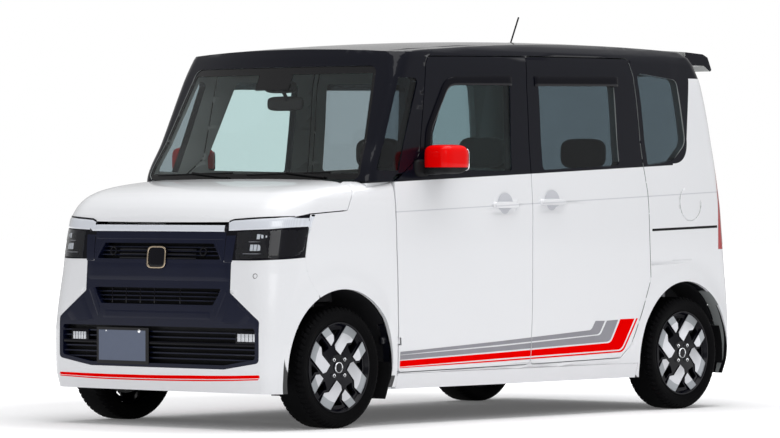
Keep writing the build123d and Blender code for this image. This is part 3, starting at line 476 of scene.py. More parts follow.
@dataclass(frozen=True)
class ScreenGlass:
    """The windscreen: tinted glass with a black printed border that widens in the middle of its top edge."""

    name: str = "screen_glass"
    tint: tuple = (0.93, 0.955, 0.95)
    side_edge: float = 0.8725
    side_lean: float = -0.197
    foot_z: float = 1.146
    top_z: float = 1.607
    housing_z: float = 1.535
    housing_half: float = 0.105

    def material(self) -> Material:
        """Black beyond |y| = side_edge + side_lean z and foot_z to top_z, and round the camera housing."""
        graph = Graph(self.name)
        _, y, z = graph.place
        away = graph.math("ABSOLUTE", y)
        edge = graph.math("MULTIPLY_ADD", z, self.side_lean, self.side_edge)
        sides = graph.step(away, edge, 0.002)
        foot = graph.below(z, self.foot_z, 0.002)
        top = graph.step(z, self.top_z, 0.002)
        near = graph.math("MULTIPLY", graph.step(z, self.housing_z, 0.003),
                          graph.below(away, self.housing_half, 0.003))
        border = graph.math("MAXIMUM", graph.math("MAXIMUM", sides, foot), graph.math("MAXIMUM", top, near))
        wave = graph.bump(graph.noise(1.2, 0.0), 0.004, 0.001)
        clear = graph.node("BsdfTransparent", {"Color": (*self.tint, 1.0)})
        ink = graph.node("BsdfPrincipled", {"Base Color": (0.004, 0.004, 0.005, 1.0), "Roughness": 0.2,
                                            "Specular IOR Level": 0.15})
        gloss = graph.node("BsdfGlossy", {"Color": (1.0, 1.0, 1.0, 1.0), "Roughness": 0.0, "Normal": wave})
        pane = graph.node("MixShader", {0: border, 1: clear.outputs[0], 2: ink.outputs[0]})
        mixer = graph.node("MixShader", {0: graph.skin_reflection(0.02, wave), 1: pane.outputs[0],
                                         2: gloss.outputs[0]})
        return graph.shown(mixer)


@dataclass(frozen=True)
class Weave:
    """Seat cover: fine crossed yarns with a soft sheen."""

    name: str
    colour: tuple
    pitch: float = 0.0022

    def material(self) -> Material:
        """Two wave patterns at right angles give the yarns' height."""
        graph = Graph(self.name)
        coordinates = graph.node("TexCoord").outputs["Object"]
        waves = [graph.node("TexWave", {"Vector": coordinates, "Scale": 1.0 / self.pitch / 6.28,
                                        "Distortion": 0.6},
                            bands_direction=axis).outputs["Fac"] for axis in ("Y", "Z")]
        yarn = graph.math("MAXIMUM", waves[0], waves[1])
        cloud = graph.noise(24.0, 3.0)
        colour = graph.mix(yarn, tuple(c * 0.6 for c in self.colour), self.colour)
        return graph.surface(Base_Color=graph.mix(graph.math("MULTIPLY", cloud, 0.3), colour,
                                                  (0.09, 0.09, 0.10)),
                             Roughness=0.92, Sheen_Weight=0.35, Sheen_Roughness=0.4,
                             Normal=graph.bump(yarn, 0.35, 0.0006))


@dataclass(frozen=True)
class Glow:
    """Milky lamp strip or bulb that reads bright without lighting the scene."""

    name: str
    colour: tuple
    strength: float = 0.25

    def material(self) -> Material:
        """Ribbed bright plastic with a little emission."""
        graph = Graph(self.name)
        ribs = graph.node("TexWave", {"Vector": graph.node("TexCoord").outputs["Object"], "Scale": 60.0},
                          bands_direction="Y").outputs["Fac"]
        return graph.surface(Base_Color=graph.varied(self.colour, ribs, 0.05), Roughness=0.12,
                             Coat_Weight=1.0,
                             Emission_Color=self.colour, Emission_Strength=self.strength,
                             Normal=graph.bump(ribs, 0.2, 0.001))


class Finishes:
    """Every finish of the car, built once and kept by name."""

    def __init__(self) -> None:
        """Builds the materials."""
        recipes = (
            TwoTonePaint(),
            Paint("white_paint", (0.85, 0.86, 0.885), 0.02),
            # grey disc behind each door pull: painted shade of the hand recess
            Paint("bowl_shade", (0.60, 0.61, 0.65), 0.02, 0.5, 0.3, 0.2),
            Paint("black_paint", (0.003, 0.0035, 0.008), 0.3, 0.32, 0.04, 1.0, (0.36, 0.37, 0.36)),
            Paint("red_paint", (0.86, 0.0, 0.0), 0.03, 0.32, 0.03, 0.8),
            Moulding("red_tape", (0.98, 0.0, 0.0), 0.4, 300.0, 0.01, 0.0, 0.0),
            Moulding("grey_tape", (0.30, 0.30, 0.33), 0.4, 300.0, 0.01, 0.0, 0.2),
            Moulding("satin_black", (0.004, 0.006, 0.021), 0.36, 1400.0, 0.05, 0.1, 0.12),
            Moulding("black_plastic", (0.008, 0.008, 0.009), 0.62, 700.0, 0.3, 0.0, 0.12),
            Moulding("interior_plastic", (0.014, 0.014, 0.016), 0.6, 800.0, 0.3),
            Moulding("tyre_rubber", (0.0025, 0.0025, 0.003), 0.7, 420.0, 0.35, 0.0, 0.05),
            PlateFace(),
            Moulding("gloss_black", (0.003, 0.003, 0.006), 0.16, 300.0, 0.01, 0.15, 0.06),
            Moulding("underbody", (0.012, 0.012, 0.014), 0.6, 260.0, 0.4),
            FacetSilver(),
            Metal("chrome", (0.80, 0.81, 0.83), 0.08, 40.0, depth=0.01),
            Metal("bronze_trim", (0.42, 0.34, 0.25), 0.2, 60.0, depth=0.02),
            Metal("cast_metal", (0.42, 0.42, 0.44), 0.5, 240.0, depth=0.5),
            Metal("steel", (0.26, 0.26, 0.28), 0.4, 300.0, depth=0.2),
            Pane("front_glass", (0.76, 0.86, 0.86), 0.02),
            Pane("privacy_glass", (0.50, 0.55, 0.575), 0.025),
            Moulding("red_lens", (0.40, 0.004, 0.008), 0.12, 200.0, 0.02, 0.8, 0.5),
            ScreenGlass(),
            Pane("lamp_cover", (0.95, 0.96, 0.97), 0.015),
            Weave("seat_fabric", (0.030, 0.030, 0.034)),
            Glow("lamp_strip", (0.66, 0.69, 0.75), 0.06),
            Glow("lamp_bulb", (0.62, 0.64, 0.68), 0.04),
        )
        self._made = {recipe.name: recipe.material() for recipe in recipes}

    def __getitem__(self, name: str) -> Material:
        """The material of that name."""
        return self._made[name]


# ---- mesh helpers ----------------------------------------------------------------------------------------
def grid_faces(rows: int, columns: int, close_rows: bool = False,
               close_columns: bool = False) -> np.ndarray:
    """Quads of a grid whose vertex number is row * columns + column.

    Args:
        rows: number of rows.
        columns: number of columns.
        close_rows: join the last row to the first.
        close_columns: join the last column to the first.

    Returns:
        One row of four vertex numbers for each quad.
    """
    i, j = np.meshgrid(np.arange(rows if close_rows else rows - 1),
                       np.arange(columns if close_columns else columns - 1),
                       indexing="ij")
    up, right = (i + 1) % rows, (j + 1) % columns
    return np.stack([i * columns + j, i * columns + right, up * columns + right, up * columns + j],
                    -1).reshape(-1, 4)


def capped_faces(rows: int, columns: int, flip: bool = False) -> list:
    """Quads between rings of points, then one face across each end.

    Args:
        rows: number of rings.
        columns: points round each ring.
        flip: turn the end faces over.

    Returns:
        The faces.
    """
    first, last = tuple(range(columns)), tuple(range((rows - 1) * columns, rows * columns))[::-1]
    ends = [first[::-1], last[::-1]] if flip else [first, last]
    return [tuple(f) for f in grid_faces(rows, columns, close_columns=True)] + ends


def joined(slabs: list) -> tuple[np.ndarray, list]:
    """Joins several (vertices, faces) into one, with the faces renumbered.

    Args:
        slabs: the vertices and the faces of each.

    Returns:
        The vertices and the faces.
    """
    faces, start = [], 0
    for corners, polygons in slabs:
        faces += [tuple(int(v) + start for v in polygon) for polygon in polygons]
        start += len(corners)
    return np.concatenate([corners for corners, _ in slabs]), faces


def placed(name: str, data: bpy.types.ID) -> Piece:
    """A new object in the scene."""
    made = bpy.data.objects.new(name, data)
    bpy.context.scene.collection.objects.link(made)
    return made


def vectors(mesh: bpy.types.Mesh, key: str = "co") -> np.ndarray:
    """The vertices' coordinates, or their normals, one row for each."""
    values = np.empty(len(mesh.vertices) * 3)
    mesh.vertices.foreach_get(key, values)
    return values.reshape(-1, 3)


def make_piece(name: str, points: np.ndarray, faces: object, material: Material, body: str,
               sharp: float = 35.0, flip: bool = False) -> Piece:
    """Makes a mesh piece, dresses it and puts it on its body.

    Args:
        name: the piece's name.
        points: one row of three for each vertex.
        faces: vertex numbers of each face.
        material: its finish.
        body: the body that it rides on.
        sharp: edges that turn by more degrees than this stay crisp.
        flip: turn the faces over first.

    Returns:
        The new object.
    """
    mesh = bpy.data.meshes.new(name)
    listed = [tuple(int(v) for v in face) for face in faces]
    if flip:
        listed = [face[::-1] for face in listed]
    mesh.from_pydata(np.asarray(points, float).reshape(-1, 3).tolist(), [], listed)
    mesh.validate()
    mesh.materials.append(material)
    return finish_piece(name, mesh, body, sharp)


def finish_piece(name: str, mesh: bpy.types.Mesh, body: str, sharp: float = 35.0) -> Piece:
    """Links a mesh as a smooth-shaded object that rides on a body.

    Args:
        name: the piece's name.
        mesh: its mesh.
        body: the body that it rides on.
        sharp: edges that turn by more degrees stay crisp.

    Returns:
        The new object.
    """
    mesh.shade_smooth()
    mesh.set_sharp_from_angle(angle=math.radians(sharp))
    piece = placed(name, mesh)
    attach(piece, body)
    return piece


def outward(mesh: bpy.types.Mesh) -> None:
    """Merges doubles and turns every face outwards.

    Args:
        mesh: the mesh to change.
    """
    work = bmesh.new()
    work.from_mesh(mesh)
    bmesh.ops.remove_doubles(work, verts=work.verts, dist=2e-5)
    bmesh.ops.recalc_face_normals(work, faces=work.faces)
    work.to_mesh(mesh)
    work.free()


def bake_modifiers(piece: Piece) -> None:
    """Replaces a piece's mesh by its evaluated one and drops its modifiers."""
    bpy.context.view_layer.update()
    mesh = bpy.data.meshes.new_from_object(piece.evaluated_get(bpy.context.evaluated_depsgraph_get()))
    piece.modifiers.clear()
    piece.data = mesh


def lathe(profile: np.ndarray, segments: int, centre: tuple, side: int = 1) -> Surface:
    """Surface of revolution about an axis along Y.

    A point (r, h) of the profile goes to (r cos t, h, r sin t) for t round the circle.

    Args:
        profile: closed profile, one row (radius, height along Y) for each corner.
        segments: steps round the axis.
        centre: the axis's middle.
        side: 1, or -1 to mirror the heights.

    Returns:
        The vertices and the quads.
    """
    turn = np.linspace(0.0, 2.0 * math.pi, segments, endpoint=False)
    r, h = profile[:, 0], profile[:, 1]
    points = np.stack([np.outer(np.cos(turn), r), np.tile(h * side, (segments, 1)),
                       np.outer(np.sin(turn), r)], -1)
    return points.reshape(-1, 3) + np.array(centre), grid_faces(segments, len(profile), True, True)


def prism(corners: np.ndarray, low: float, high: float, top_scale: float = 1.0) -> tuple[np.ndarray, list]:
    """Plate from flat corners (u, v), carried from one level to another.

    Args:
        corners: one row (u, v) for each corner.
        low: level of the base.
        high: level of the top.
        top_scale: size of the top about the corners' middle.

    Returns:
        Vertices (u, level, v) and faces.
    """
    count = len(corners)
    middle = corners.mean(0)
    top = middle + (corners - middle) * top_scale
    levels = [(corners, low), (corners, high - 0.25 * (high - low)), (top, high)]
    rings = [np.stack([ring[:, 0], np.full(count, level), ring[:, 1]], -1) for ring, level in levels]
    points = np.concatenate(rings)
    faces: list = [tuple(range(count))[::-1], tuple(range(2 * count, 3 * count))]
    faces += [tuple(f) for f in grid_faces(3, count, close_columns=True)]
    return points, faces


# ---- body skins ------------------------------------------------------------------------------------------
def eased(z: np.ndarray, heights: np.ndarray, values: np.ndarray) -> np.ndarray:
    """Monotone cubic through a table.

    Inside each interval the value is the Hermite cubic whose end slopes are the harmonic means of the
    neighbouring chords' slopes, or zero at a turning point.

    Args:
        z: where to read it.
        heights: the table's rising heights.
        values: the value at each height.

    Returns:
        The smooth values.
    """
    gap = np.diff(heights)
    chord = np.diff(values) / gap
    slope = np.zeros(len(values))
    slope[0], slope[-1] = chord[0], chord[-1]
    same = chord[:-1] * chord[1:] > 0
    total = np.where(same, chord[:-1] + chord[1:], 1.0)
    slope[1:-1] = np.where(same, 2.0 * chord[:-1] * chord[1:] / total, 0.0)
    k = np.clip(np.searchsorted(heights, z) - 1, 0, len(gap) - 1)
    t = np.clip((z - heights[k]) / gap[k], 0.0, 1.0)
    return ((1 + 2 * t) * (1 - t) ** 2 * values[k] + t * (1 - t) ** 2 * gap[k] * slope[k]
            + t * t * (3 - 2 * t) * values[k + 1] + t * t * (t - 1) * gap[k] * slope[k + 1])


@dataclass
class BodyForm:
    """The plan sizes of a body form at its stations, and the smooth form through them.

    Rows are (height, half width, half width at the rear, front, rear). Lengths are smoothed ahead of
    front_start only, and nothing is smoothed round the tailgate's hinge or at the front doors' lower leading
    corners, so hinged panels keep their gaps.
    """

    rows: tuple
    front_start: float = -9.0
    hinge_x: float = -1.30
    hinge_z: float = 1.66
    door_x: float = 0.843
    door_z: float = 0.52
    ease: float = 0.06                        # width over which the smoothing fades
    door_free: float = 0.03
    door_ease: float = 0.08

    def sizes(self, z: np.ndarray, smooth: bool) -> list[np.ndarray]:
        """Half width, rear half width, front and rear at each height, in straight or eased runs."""
        table = np.array(self.rows)
        heights = table[:, 0]
        if smooth:
            return [eased(z, heights, table[:, c]) for c in range(1, 5)]
        return [np.interp(z, heights, table[:, c]) for c in range(1, 5)]

    def warp(self, points: np.ndarray) -> np.ndarray:
        """Moves points of the straight-ruled form onto the smooth one.

        At each height, lengths are stretched so that front and rear land on the eased ones, and widths by
        the ratio of the eased half width to the straight one.

        Args:
            points: one row (x, y, z) for each vertex.

        Returns:
            The moved points.
        """
        x, y, z = points.T
        half, half_rear, front, rear = self.sizes(z, False)
        half_s, half_rear_s, front_s, rear_s = self.sizes(z, True)
        t = np.clip((x - rear) / (front - rear), 0.0, 1.0)
        ratio = ((1 - t) * half_rear_s + t * half_s) / ((1 - t) * half_rear + t * half)
        ahead = np.clip((x - self.front_start) / self.ease, 0.0, 1.0)
        below = np.clip((self.hinge_z - z) / self.ease, 0.0, 1.0)
        clear = np.maximum(below, np.clip((x - self.hinge_x) / self.ease, 0.0, 1.0))
        beside = np.clip((np.abs(x - self.door_x) - self.door_free) / self.door_ease, 0.0, 1.0)
        corner = np.maximum(beside, np.clip((z - self.door_z) / self.door_ease, 0.0, 1.0))
        moved = x + corner * (below * (1 - t) * (rear_s - rear) + ahead * t * (front_s - front))
        return np.stack([moved, y * (1.0 + (ratio - 1.0) * clear * corner), z], -1)


HALF = 0.7375
# Rows of (height, draw-in from the half width, front, rear).
CABIN = BodyForm(tuple((z, HALF - inset, HALF - inset, front, rear) for z, inset, front, rear in (
    (0.165, 0.032, 1.048, -1.655), (0.260, 0.014, 1.048, -1.678), (0.430, 0.004, 1.048, -1.682),
    (0.700, 0.0, 1.048, -1.652), (0.960, 0.0, 1.048, -1.622), (1.110, 0.009, 1.048, -1.606),
    (1.300, 0.026, 0.961, -1.580), (1.590, 0.045, 0.828, -1.512), (1.690, 0.060, 0.782, -1.470),
    (1.722, 0.072, 0.764, -1.450), (1.748, 0.098, 0.736, -1.420), (1.800, 0.190, 0.660, -1.350))), 0.88)
# Rows of (height, draw-in in front, draw-in at the cowl, front).
NOSE = BodyForm(tuple((z, HALF - inset, HALF - cowl, front, 0.700) for z, inset, cowl, front in (
    (0.165, 0.032, 0.032, 1.668), (0.260, 0.014, 0.014, 1.686), (0.430, 0.004, 0.004, 1.686),
    (0.700, 0.0, 0.0, 1.672), (0.925, 0.0, 0.0, 1.635), (0.985, 0.004, 0.0015, 1.590),
    (1.025, 0.014, 0.004, 1.545), (1.058, 0.036, 0.006, 1.480), (1.085, 0.085, 0.008, 1.380),
    (1.108, 0.165, 0.009, 1.230), (1.122, 0.250, 0.040, 1.100))))


def bow(x: np.ndarray) -> np.ndarray:
    """How far a bowed side draws in at a station: the sagitta of its plan circle."""
    return SIDE_RADIUS - np.sqrt(SIDE_RADIUS**2 - x**2)


def flared(points: np.ndarray) -> np.ndarray:
    """Stands the sides out round the wheel arches.

    Args:
        points: one row (x, y, z) for each vertex.

    Returns:
        The points with a bell of the distance to each arch's edge added to |y|, full at the edge, and none
        of it at the front doors' leading edges.
    """
    x, y, z = points.T
    lift = np.zeros(len(x))
    for middle_x, middle_z, radius in ARCHES:
        away = np.maximum(np.hypot(x - middle_x, z - middle_z) - radius, 0.0)
        lift = np.maximum(lift, FLARE * np.exp(-(away / FLARE_WIDTH) ** 2))
    outer = np.clip((np.abs(y) - FLARE_INNER_Y) / 0.05, 0.0, 1.0)
    beside = np.clip(np.maximum(x - FLARE_FREE[1], FLARE_FREE[0] - x) / 0.06, 0.0, 1.0)
    return np.stack([x, y + np.sign(y) * lift * (outer * beside), z], -1)


@dataclass
class SkinMaker:
    """Turns a packed panel into a finished one: merged, cut into level rows, smoothed and flared."""

    frame: dict
    finishes: Finishes
    row_height: float = 0.022
    arch_margin: float = 0.14
    sharp: float = 28.0

    def cut(self, work: bmesh.types.BMesh, place: tuple, square: tuple) -> None:
        """Cuts the whole mesh along the plane through a place, square to a direction."""
        everything = work.verts[:] + work.edges[:] + work.faces[:]
        bmesh.ops.bisect_plane(work, geom=everything, plane_co=place, plane_no=square, dist=1e-5)

    def work_mesh(self, node: str) -> bmesh.types.BMesh:
        """A merged copy of a node's mesh, cut at level planes and across the wheel arches.

        Args:
            node: the CAD node.

        Returns:
            The mesh to go on with.
        """
        work = bmesh.new()
        work.from_mesh(self.frame["nodes"][node].data)
        bmesh.ops.remove_doubles(work, verts=work.verts, dist=2e-5)
        heights = [v.co.z for v in work.verts]
        for level in np.arange(min(heights) + self.row_height, max(heights), self.row_height):
            self.cut(work, (0, 0, float(level)), (0, 0, 1))
        for middle_x, _, radius in ARCHES:
            first, last = middle_x - radius - self.arch_margin, middle_x + radius + self.arch_margin
            for station in np.arange(first, last, self.row_height):
                self.cut(work, (float(station), 0, 0), (1, 0, 0))
        return work

    def panel(self, node: str, finish: str, form: BodyForm) -> None:
        """A finished panel that stands for its CAD node.

        Args:
            node: the CAD node.
            finish: the finish's name.
            form: the body form that it belongs to.
        """
        work = self.work_mesh(node)
        mesh = bpy.data.meshes.new(node + "_skin")
        work.to_mesh(mesh)
        work.free()
        mesh.vertices.foreach_set("co", flared(form.warp(vectors(mesh))).ravel())
        mesh.materials.clear()
        mesh.materials.append(self.finishes[finish])
        cad = self.frame["nodes"][node]
        piece = finish_piece(node + "_skin", mesh, cad["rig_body"], self.sharp)
        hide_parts(node)
        LOG.info("panel %s: %d faces", node, len(mesh.polygons))


@dataclass
class Shell:
    """The painted body, its glass and its dark trim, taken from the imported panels."""

    maker: SkinMaker
    two_tone: tuple = ("body_side_left", "body_side_right", "front_left_door", "front_right_door",
                       "left_sliding_door", "right_sliding_door", "tailgate")
    cabin_parts: tuple = (("roof_panel", "black_paint"), ("rear_bumper", "white_paint"),
                          ("side_skirts", "white_paint"),
                          ("windscreen", "screen_glass"), ("tailgate_glass", "privacy_glass"),
                          ("front_left_door_glass", "front_glass"),
                          ("front_right_door_glass", "front_glass"),
                          ("rear_spoiler", "black_paint"), ("tail_lamps", "red_lens"))
    nose_parts: tuple = (("front_wings", "white_paint"), ("bonnet", "white_paint"),
                         ("front_bumper", "white_paint"),
                         ("radiator_grille", "satin_black"), ("headlamps", "gloss_black"))

    def build(self) -> None:
        """Builds every panel."""
        for node in self.two_tone:
            self.maker.panel(node, "two_tone_paint", CABIN)
        for node, finish in self.cabin_parts:
            self.maker.panel(node, finish, CABIN)
        for node, finish in self.nose_parts:
            self.maker.panel(node, finish, NOSE)


@dataclass
class CarriedParts:
    """CAD nodes whose shape is right as it is, with their finishes."""

    frame: dict
    finishes: Finishes
    plan: tuple = (
        ("antenna", "black_plastic"), ("cowl_panel", "black_plastic"), ("dashboard", "interior_plastic"),
        ("engine_block", "cast_metal"), ("exhaust", "steel"), ("floor_pan", "underbody"),
        ("front_structure", "underbody"),
        ("front_subframe", "underbody"), ("fuel_tank", "underbody"), ("left_knuckle", "cast_metal"),
        ("right_knuckle", "cast_metal"), ("mud_flaps", "black_plastic"), ("number_plate", "plate_face"),
        ("rear_axle", "underbody"), ("rear_dampers", "steel"), ("seat_frames", "interior_plastic"),
        ("side_glass", "privacy_glass"), ("tie_rods", "steel"), ("steering_wheel", "interior_plastic"),
        ("front_left_rim", "gloss_black"), ("front_right_rim", "gloss_black"),
        ("rear_left_rim", "gloss_black"),
        ("rear_right_rim", "gloss_black"))

    def build(self) -> None:
        """Dresses each node."""
        for node, finish in self.plan:
            mesh = self.frame["nodes"][node].data
            mesh.materials.clear()
            mesh.materials.append(self.finishes[finish])
            LOG.info("dressed %s as %s", node, finish)


# ---- surfaces that trim is laid on -----------------------------------------------------------------------
# Nose plan by height: draw-in from the half width, front of the sides, middle of the front, corner radius.
NOSE_PLAN = np.array([(z, HALF - inset, sides, middle, corner) for z, inset, sides, middle, corner in (
    (0.165, 0.032, 1.668, 1.680, 0.060), (0.260, 0.014, 1.686, 1.6975, 0.075),
    (0.430, 0.004, 1.686, 1.6975, 0.090), (0.700, 0.0, 1.672, 1.692, 0.170),
    (0.925, 0.0, 1.635, 1.665, 0.200),
    (0.985, 0.004, 1.590, 1.640, 0.200), (1.025, 0.014, 1.545, 1.600, 0.200),
    (1.058, 0.036, 1.480, 1.540, 0.200))])


class NoseSkin:
    """The nose's surface, read by the distance along its plan outline from the middle, and by the height."""

    def __init__(self) -> None:
        """Tabulates the outline at 60 heights."""
        self.heights = np.linspace(0.165, 1.05, 60)
        self.lengths = np.linspace(-0.95, 0.95, 381)
        self.table = np.stack([self.outline(z) for z in self.heights])

    def outline(self, z: float) -> np.ndarray:
        """One level's outline: a shallow parabola, a quarter circle, then the bowed side.

        Args:
            z: the level's height.

        Returns:
            One (x, y) for each tabulated length.
        """
        half, front, nose, corner = (eased(np.array([z]), NOSE_PLAN[:, 0], NOSE_PLAN[:, c])[0]
                                     for c in range(1, 5))
        edge = half - bow(front)
        straight = edge - corner
        y = np.linspace(0.0, straight, 200)
        x = nose - (nose - front) * (y / edge) ** 2
        turn = np.linspace(math.pi / 2, 0.0, 80)[1:]
        side = np.linspace(x[-1] - corner, 0.9, 100)[1:]
        xs = np.concatenate([x, x[-1] - corner + corner * np.sin(turn), side])
        ys = np.concatenate([y, straight + corner * np.cos(turn), half - bow(side)])
        run = np.concatenate([[0.0], np.cumsum(np.hypot(np.diff(xs), np.diff(ys)))])
        away = np.abs(self.lengths)
        return np.stack([np.interp(away, run, xs), np.interp(away, run, ys) * np.sign(self.lengths)], -1)

    def base(self, run: np.ndarray, z: np.ndarray) -> np.ndarray:
        """Points on the surface, by straight interpolation in the table.

        Args:
            run: distance along the outline.
            z: height.

        Returns:
            One (x, y, z) for each pair.
        """
        u = np.clip((run - self.lengths[0]) / (self.lengths[1] - self.lengths[0]), 0,
                    len(self.lengths) - 1.001)
        v = np.clip((z - self.heights[0]) / (self.heights[1] - self.heights[0]), 0,
                    len(self.heights) - 1.001)
        i, j = u.astype(int), v.astype(int)
        du, dv = (u - i)[..., None], (v - j)[..., None]
        low = self.table[j, i] * (1 - du) + self.table[j, i + 1] * du
        high = self.table[j + 1, i] * (1 - du) + self.table[j + 1, i + 1] * du
        plan = low * (1 - dv) + high * dv
        return np.concatenate([plan, z[..., None]], -1)

    def at(self, run: np.ndarray, z: np.ndarray, lift: np.ndarray | float) -> np.ndarray:
        """Points lifted off the surface along its normal.

        Args:
            run: distance along the outline, to the car's left from the middle.
            z: height.
            lift: distance off the surface.

        Returns:
            One (x, y, z) for each pair.
        """
        along = self.base(run + 0.004, z) - self.base(run - 0.004, z)
        upward = self.base(run, z + 0.004) - self.base(run, z - 0.004)
        normal = np.cross(along, upward)
        normal /= np.linalg.norm(normal, axis=-1, keepdims=True)
        return self.base(run, z) + normal * np.asarray(lift)[..., None]


class SideSkin:
    """The left side's surface over (x, z)."""

    def at(self, x: np.ndarray, z: np.ndarray, lift: np.ndarray | float) -> np.ndarray:
        """Points at y = (half - bow(x)) * smooth half / half, flared at the arches, plus the lift.

        Args:
            x: station along the car.
            z: height.
            lift: distance off the surface along Y.

        Returns:
            One (x, y, z) for each pair.
        """
        half = CABIN.sizes(z, False)[0]
        smooth = CABIN.sizes(z, True)[0]
        points = np.stack([x, (half - bow(x)) * smooth / half, z], -1)
        shape = points.shape
        points = flared(points.reshape(-1, 3)).reshape(shape)
        points[..., 1] += lift
        return points


def resampled(line: tuple, count: int, soften: int = 0) -> np.ndarray:
    """A polyline read at even steps of its length.

    Args:
        line: its corners.
        count: number of points.
        soften: half width of the moving average that rounds the corners, in points.

    Returns:
        The points, the ends kept.
    """
    corners = np.array(line, float)
    run = np.concatenate([[0.0], np.cumsum(np.linalg.norm(np.diff(corners, axis=0), axis=1))])
    even = np.linspace(0.0, run[-1], count)
    points = np.stack([np.interp(even, run, corners[:, c]) for c in range(corners.shape[1])], -1)
    if soften:
        before = 2 * points[:1] - points[soften:0:-1]
        after = 2 * points[-1:] - points[-2:-soften - 2:-1]
        padded = np.concatenate([before, points, after])
        kernel = np.ones(2 * soften + 1) / (2 * soften + 1)
        points = np.stack([np.convolve(padded[:, c], kernel, "valid") for c in range(points.shape[1])], -1)
    return points


def band(skin: NoseSkin | SideSkin, top: tuple, bottom: tuple, columns: int, rows: int, lift: float,
         thick: float,
         soften: int = 0) -> Surface:
    """A thin slab between two lines on a surface, with a small chamfer round its edge.

    Point (i, j) is at top_j + (bottom_j - top_j) * i / rows on the surface. Its outer face stands thick over
    its base, a third of that on the boundary.

    Args:
        skin: the surface.
        top: corners of the upper line in the surface's two coordinates.
        bottom: corners of the lower line.
        columns: points along the lines.
        rows: points across.
        lift: height of the slab's base off the surface.
        thick: its thickness.
        soften: rounding of the lines' corners, in points.

    Returns:
        The vertices and the quads.
    """
    upper, lower = resampled(top, columns, soften), resampled(bottom, columns, soften)
    t = np.linspace(0.0, 1.0, rows)[:, None, None]
    flat = upper[None] * (1 - t) + lower[None] * t
    rim = np.ones((rows, columns), bool)
    rim[1:-1, 1:-1] = False
    height = np.where(rim, lift + thick / 3, lift + thick)
    outer = skin.at(flat[..., 0], flat[..., 1], height)
    inner = skin.at(flat[..., 0], flat[..., 1], np.full((rows, columns), lift - 0.001))
    faces = grid_faces(rows, columns)
    count = rows * columns
    number = np.arange(count).reshape(rows, columns)
    loop = np.concatenate([number[0], number[1:, -1], number[-1, -2::-1], number[-2:0:-1, 0]])
    after = np.roll(loop, -1)
    skirt = np.stack([loop, after, after + count, loop + count], -1)
    return np.concatenate([outer.reshape(-1, 3), inner.reshape(-1, 3)]), np.concatenate(
        [faces, faces[:, ::-1] + count, skirt])


@dataclass
class Trim:
    """Adds many slabs as pieces, mirrored when they're wanted on the right too."""

    finishes: Finishes

    def add(self, name: str, slabs: list, finish: str, body: str, slot: str, mirror: bool = False,
            sharp: float = 40.0) -> Piece:
        """Joins slabs in one mesh.

        Args:
            name: the piece's name.
            slabs: (vertices, faces) of each.
            finish: the finish's name.
            body: the body that it rides on.
            slot: not used.
            mirror: turn it over to the right side.
            sharp: edges that turn by more degrees stay crisp.

        Returns:
            The piece.
        """
        points, faces = joined(slabs)
        points = points * np.array([1.0, -1.0 if mirror else 1.0, 1.0])
        piece = make_piece(name, points, faces, self.finishes[finish], body, sharp)
        outward(piece.data)
        piece.data.set_sharp_from_angle(angle=math.radians(sharp))
        return piece


# ---- nose ------------------------------------------------------------------------------------------------
def both(*lines: tuple) -> tuple:
    """Lines on the nose, and the same lines on its other half."""
    return lines, tuple(tuple((-run, z) for run, z in line) for line in lines)


# Raised parts of the dark fascia: upper line and lower line, each corner (along the outline, height).
FASCIA_BLOCKS = (
    *both(((0.412, 0.884), (0.470, 0.884)), ((0.408, 0.738), (0.456, 0.738))),
    (((-0.430, 0.868), (0.430, 0.868)), ((-0.412, 0.846), (0.412, 0.846))),
    (((-0.450, 0.748), (0.450, 0.748)), ((-0.452, 0.656), (0.452, 0.656))),
    (((-0.345, 0.533), (0.345, 0.533)), ((-0.350, 0.484), (0.350, 0.484))),
    *both(((0.388, 0.756), (0.345, 0.846)), ((0.412, 0.756), (0.368, 0.846))),
    *both(((0.395, 0.632), (0.352, 0.540)), ((0.440, 0.620), (0.372, 0.484))),
    *both(((0.452, 0.604), (0.376, 0.478)), ((0.590, 0.492), (0.560, 0.472))))
UPRIGHTS = (-0.290, -0.200, -0.110, -0.020, 0.140)            # thin uprights in the middle opening
SLOT_SPANS = ((-0.24, -0.06), (0.06, 0.24))                    # bars beside the badge
SLOT_HEIGHTS = (0.800, 0.780, 0.762)
DISC_RUN = 0.282
DISC_Z = 0.796
BADGE_Z = 0.768
BADGE_WIDE = 1.17
BADGE_SQUARENESS = 5.0
SENSOR_RUN = 0.592
SENSOR_Z = 0.689
DUCT_WALL = (((-0.665, 0.860), (0.665, 0.860)), ((-0.665, 0.285), (0.665, 0.285)))
MODULE_ROWS = ((0.583, 0.852, 0.874), (0.556, 0.800, 0.828))   # left end, low, high
MODULE_PITCH = 0.018
MODULE_WIDTH = 0.015
FOG_CELLS = 5
LOWER_BAR = (((-0.600, 0.387), (0.600, 0.387)), ((-0.600, 0.375), (0.600, 0.375)))
PLATE_BOLT_Y = (-0.313, -0.103)
PLATE_BOLT_Z = 0.432
FOG_LAMPS = ((0.496, 0.610, 0.391, 0.437), (-0.539, -0.452, 0.384, 0.429))
STRIPE_TOP = ((-0.770, 0.236), (-0.371, 0.233), (0.0, 0.235), (0.242, 0.240), (0.416, 0.242),
              (0.645, 0.251))
STRIPE_BOTTOM = ((-0.750, 0.221), (-0.375, 0.209), (-0.030, 0.210), (0.238, 0.214), (0.412, 0.218),
                 (0.618, 0.228))
STRIP_TOP = ((0.419, 0.925), (0.442, 0.933), (0.576, 0.941), (0.679, 0.946), (0.842, 0.953))
STRIP_BOTTOM = ((0.424, 0.889), (0.588, 0.895), (0.837, 0.903))
LAMP_TOP = ((0.478, 0.884), (0.588, 0.889), (0.834, 0.897))
LAMP_BOTTOM = ((0.480, 0.762), (0.684, 0.769), (0.772, 0.776), (0.812, 0.800))


